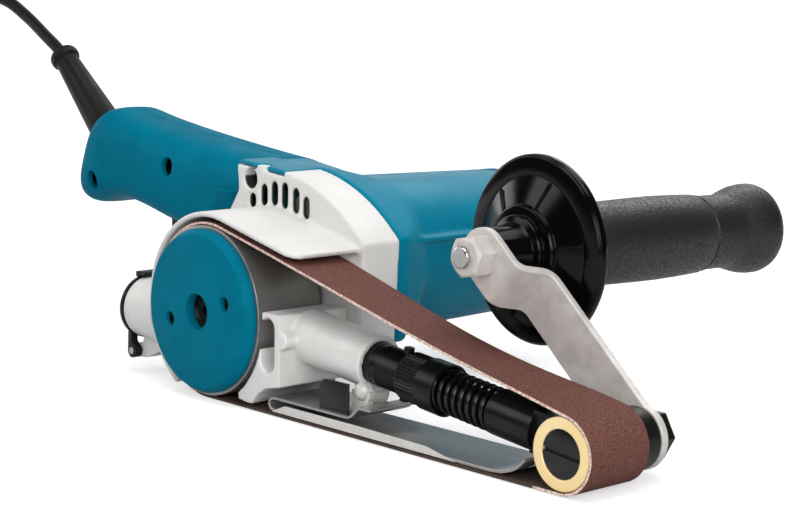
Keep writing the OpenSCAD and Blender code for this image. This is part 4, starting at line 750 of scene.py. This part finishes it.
def make_shoe():
    """The bent belt shoe: its tab has one round corner and a dark tone of painted shade, its near edge a
    low tapered lip.
    """
    bm = flat_copy("belt_shoe")

    def at_corner(vert):
        return abs(vert.co.x - SHOE_CORNER.x) + abs(vert.co.z - SHOE_CORNER.z) < 1e-5

    edges = [e for e in bm.edges if all(at_corner(v) for v in e.verts)]
    bmesh.ops.bevel(bm, geom=edges, offset=0.0036, segments=8, profile=0.5, affect="EDGES", material=-1)
    for vert in bm.verts:
        x, y, z = place_in_mm(vert.co)
        if -8.3 < y < -5.2 and abs(x - 82) < 6 and z > 8:
            vert.co += CLIP_SHIFT
    plate(bm, [at(x, 0, z) for x, z in SHOE_LIP], -15, -14.3)
    mesh = with_modifiers(bm, bevel_step(0.15))
    finish_mesh(mesh, "bent_belt_shoe", ["sheet_steel", "shoe_tab_shade", "shoe_lip"], "frame",
        ["belt_shoe"], EASE_SMOOTH)
    for face in mesh.polygons:
        x, y, z = place_in_mm(face.center)
        on_lip = y < -14.2 and z < 4.9
        on_clip = -8.3 < y < -5.2 and z > 7.3 and abs(x - 84) < 7
        if on_lip or on_clip:
            face.material_index = 2
        # The tab's faces take the dark copy of the steel: painted shade
        elif -12.5 < y < -11.1 and z > 7.1:
            face.material_index = 1


def make_shoe_pin():
    """The domed pin that the shoe's clip holds."""
    bm = bmesh.new()
    profile = [(0, -10.2), (1.6, -9.9), (2.7, -9.1), (3.3, -8), (3.5, -7), (3.5, -5), (2, -5), (2, 6),
               (0, 6)]
    turned(bm, profile, at(84.6, 0, 15.9), (0, 1, 0), (1, 0, 0), 48)
    finish_piece(bm, "domed_shoe_pin", ["shoe_lip"], "frame", ["shoe_screw"], 40.0)


def make_disc():
    """The pulley's face plate, drawn in a little at its rim and stood a little proud."""
    bm = flat_copy("pulley_disc")
    axis = at(0, 0, DRIVE_Z)
    for vert in bm.verts:
        vert.co.x = axis.x + (vert.co.x - axis.x) * DISC_SCALE
        vert.co.z = axis.z + (vert.co.z - axis.z) * DISC_SCALE
        vert.co.y = DISC_BACK + (vert.co.y - DISC_BACK) * DISC_PROUD
    mesh = with_modifiers(bm, bevel_step(0.5))
    finish_mesh(mesh, "pulley_face_plate", ["teal_disc"], "pulley", ["pulley_disc"],
        EASE_SMOOTH)


make_shoe()
make_shoe_pin()
make_disc()
strap = make_strap()
plug = eased_copy("plug", "mains_plug", "black_rubber", 1.0)
make_cord()


# Side grip and its nut
GRIP = [(4.3, 0.8), (9, 0.8), (9.6, 2.2), (10.4, 10), (10.9, 12), (13.0, 12.7), (13.4, 13.2),
        (13.4, 14.9), (16.3, 15.3), (16.9, 15.9), (17.1, 17.2), (22, 19.1), (27.2, 21.4), (27.6, 21.2),
        (28.2, 21.2), (33.2, 21.7), (33.9, 21.9), (34.1, 22.4), (34.6, 22.6), (35, 23.4), (35, 24.8),
        (34.6, 25.7), (33.8, 26), (26, 25), (17, 27.6), (14.2, 30), (13.6, 39), (14.6, 43.5),
        (15.6, 48), (15.8, 60), (16.0, 71), (16.1, 82), (15.8, 94), (15.4, 103.4), (15.2, 104.1),
        (14.4, 104.4), (14.4, 105.1), (15.0, 105.5), (15.0, 106.3), (14.5, 106.8), (14.5, 121),
        (15, 123), (16.2, 126.4), (17.4, 131), (17.8, 134.5), (17.8, 137.4), (17.2, 139.4),
        (15.8, 140.9), (13.2, 141.7), (12.0, 141.2), (0, 141.2)]
GRIP_RIB = [(17, 17.4), (17, 16.2), (26.6, 19.9), (26.9, 21.2)]


def make_grip():
    """The turned grip, with thin ribs in the flange's dish."""
    lean = math.radians(4)
    origin, axis = at(GRIP_X, 12.5, GRIP_Z), Vector((math.sin(lean), math.cos(lean), 0))
    bm = bmesh.new()
    turned(bm, GRIP, origin, axis, (0, 0, 1), 128)
    for k in range(6):
        out = Matrix.Rotation(math.radians(20 + 60 * k), 3, axis) @ Vector((0, 0, 1))
        rib = [origin + (out * r + axis * h) / 1000.0 for r, h in GRIP_RIB]
        plate(bm, rib, -0.4, 0.4, out.cross(axis))
    piece = finish_piece(bm, "turned_side_grip", ["grip_plastic", "grip_body"], "grip",
        ["side_grip"], 28.0)
    for face in piece.data.polygons:
        face.material_index = int((face.center - origin).dot(axis) > 0.0295)


def make_nut():
    """The hexagon nut with a turned chamfer on its near face."""
    def cone(bm):
        profile = [(0, 0), (6.3, 0), (8.4, 1.3), (8.4, 12), (0, 12)]
        turned(bm, profile, at(GRIP_X, 0.9, GRIP_Z), (0, 1, 0), (1, 0, 0), 64)

    tool = cutter("nut_chamfer", cone)
    cut = {"object": tool, "operation": "INTERSECT", "solver": "EXACT"}
    mesh = with_modifiers(flat_copy("grip_nut"), ("BOOLEAN", cut), bevel_step(0.3, 25.0))
    bpy.data.objects.remove(tool)
    finish_mesh(mesh, "grip_hex_nut", ["strip_steel"], "grip", ["grip_nut"], 30.0)


make_grip()
make_nut()

# Floor, light and background
FLOOR_TONE = (0.62, 0.62, 0.62, 1)
FLOOR_NEAR = 0.56
FLOOR_FAR = 0.95
ROOM_DIM = 0.05
AMBIENT = 0.34
AHEAD = (-0.736, 0.677, 0.0)
LAMPS = [
    ("top_box", (0.1, 0.0, 1.1), (-0.05, 0.04, 0.05), (1.0, 0.8), 6.6),
    ("left_box", (-0.75, -0.85, 0.75), (-0.05, 0.0, 0.06), (0.6, 0.6), 2.8),
    ("front_box", (0.5, -0.6, 0.32), (0.03, 0.03, 0.06), (0.4, 0.3), 2.0),
    ("right_box", (1.0, -0.35, 0.5), (0.0, 0.05, 0.05), (0.5, 0.7), 5.0),
    ("back_box", (-0.3, 0.8, 0.85), (0.0, 0.08, 0.08), (0.6, 0.4), 2.3),
    ("side_card", (-1.2, -0.2, 0.3), (0.0, 0.03, 0.08), (0.5, 0.3), 1.2),
]


def make_floor():
    """A pale floor that shows white to the camera and in mirrors behind the tool."""
    bm = bmesh.new()
    bmesh.ops.create_grid(bm, x_segments=1, y_segments=1, size=6.0)
    mesh = bpy.data.meshes.new("studio_floor")
    bm.to_mesh(mesh)
    bm.free()
    floor = bpy.data.objects.new("studio_floor", mesh)
    floor.location.z = -0.0004
    scene.collection.objects.link(floor)
    material = bpy.data.materials.new("pale_floor")
    material.use_nodes = True
    tree = material.node_tree
    link = tree.links.new
    shader = tree.nodes["Principled BSDF"]
    shader.inputs["Base Color"].default_value = FLOOR_TONE
    shader.inputs["Roughness"].default_value = 0.9
    shader.inputs["Specular IOR Level"].default_value = 0.0
    shader.inputs["Emission Color"].default_value = (1, 1, 1, 1)
    rays = tree.nodes.new("ShaderNodeLightPath")
    seen = add_node(tree, "ShaderNodeMath", operation="MAXIMUM")
    place = tree.nodes.new("ShaderNodeTexCoord")
    reach = add_node(tree, "ShaderNodeVectorMath", operation="LENGTH")
    far = add_node(tree, "ShaderNodeMapRange", interpolation_type="SMOOTHSTEP")
    far.inputs["From Min"].default_value = 0.3
    far.inputs["From Max"].default_value = 1.6
    far.inputs["To Min"].default_value = FLOOR_NEAR
    far.inputs["To Max"].default_value = FLOOR_FAR
    along = add_node(tree, "ShaderNodeVectorMath", operation="DOT_PRODUCT")
    along.inputs[1].default_value = AHEAD
    behind = add_node(tree, "ShaderNodeMapRange", interpolation_type="SMOOTHSTEP")
    behind.inputs["From Min"].default_value = 0.0
    behind.inputs["From Max"].default_value = 0.5
    mirror = add_node(tree, "ShaderNodeMath", operation="MULTIPLY")
    strength = add_node(tree, "ShaderNodeMath", operation="MULTIPLY")
    link(place.outputs["Object"], reach.inputs[0])
    link(place.outputs["Object"], along.inputs[0])
    link(reach.outputs["Value"], far.inputs["Value"])
    link(along.outputs["Value"], behind.inputs["Value"])
    link(rays.outputs["Is Glossy Ray"], mirror.inputs[0])
    link(behind.outputs["Result"], mirror.inputs[1])
    link(rays.outputs["Is Camera Ray"], seen.inputs[0])
    link(mirror.outputs["Value"], seen.inputs[1])
    link(seen.outputs["Value"], strength.inputs[0])
    link(far.outputs["Result"], strength.inputs[1])
    link(strength.outputs["Value"], shader.inputs["Emission Strength"])
    mesh.materials.append(material)


def make_world():
    """A white backdrop for the camera, a dim room in mirrors and an even light for the rest."""
    world = bpy.data.worlds.new("studio")
    world.use_nodes = True
    scene.world = world
    tree = world.node_tree
    link = tree.links.new
    rays = tree.nodes.new("ShaderNodeLightPath")
    place = tree.nodes.new("ShaderNodeTexCoord")
    along = add_node(tree, "ShaderNodeVectorMath", operation="DOT_PRODUCT")
    along.inputs[1].default_value = AHEAD
    backdrop = add_node(tree, "ShaderNodeMapRange", interpolation_type="SMOOTHSTEP")
    backdrop.inputs["From Min"].default_value = 0.4
    backdrop.inputs["From Max"].default_value = 0.85
    backdrop.inputs["To Min"].default_value = ROOM_DIM
    seen = add_node(tree, "ShaderNodeMath", operation="MAXIMUM")
    mirror = add_node(tree, "ShaderNodeMix", data_type="FLOAT")
    mirror.inputs[2].default_value = AMBIENT
    level = add_node(tree, "ShaderNodeMix", data_type="FLOAT")
    level.inputs[3].default_value = 1.0
    link(place.outputs["Generated"], along.inputs[0])
    link(along.outputs["Value"], backdrop.inputs["Value"])
    link(rays.outputs["Is Glossy Ray"], mirror.inputs[0])
    link(backdrop.outputs["Result"], mirror.inputs[3])
    link(rays.outputs["Is Camera Ray"], seen.inputs[0])
    link(rays.outputs["Is Transmission Ray"], seen.inputs[1])
    link(seen.outputs["Value"], level.inputs[0])
    link(mirror.outputs[0], level.inputs[2])
    back = tree.nodes["Background"]
    back.inputs["Color"].default_value = (1, 1, 1, 1)
    link(level.outputs[0], back.inputs["Strength"])


def add_light(name, place, target, size, power):
    """An area lamp at a place, turned to a target."""
    data = bpy.data.lights.new(name, "AREA")
    data.shape = "RECTANGLE"
    data.size, data.size_y = size
    data.energy = power
    light = bpy.data.objects.new(name, data)
    light.location = place
    light.rotation_euler = (Vector(target) - Vector(place)).to_track_quat("-Z", "Y").to_euler()
    scene.collection.objects.link(light)


make_floor()
make_world()
for lamp in LAMPS:
    add_light(*lamp)
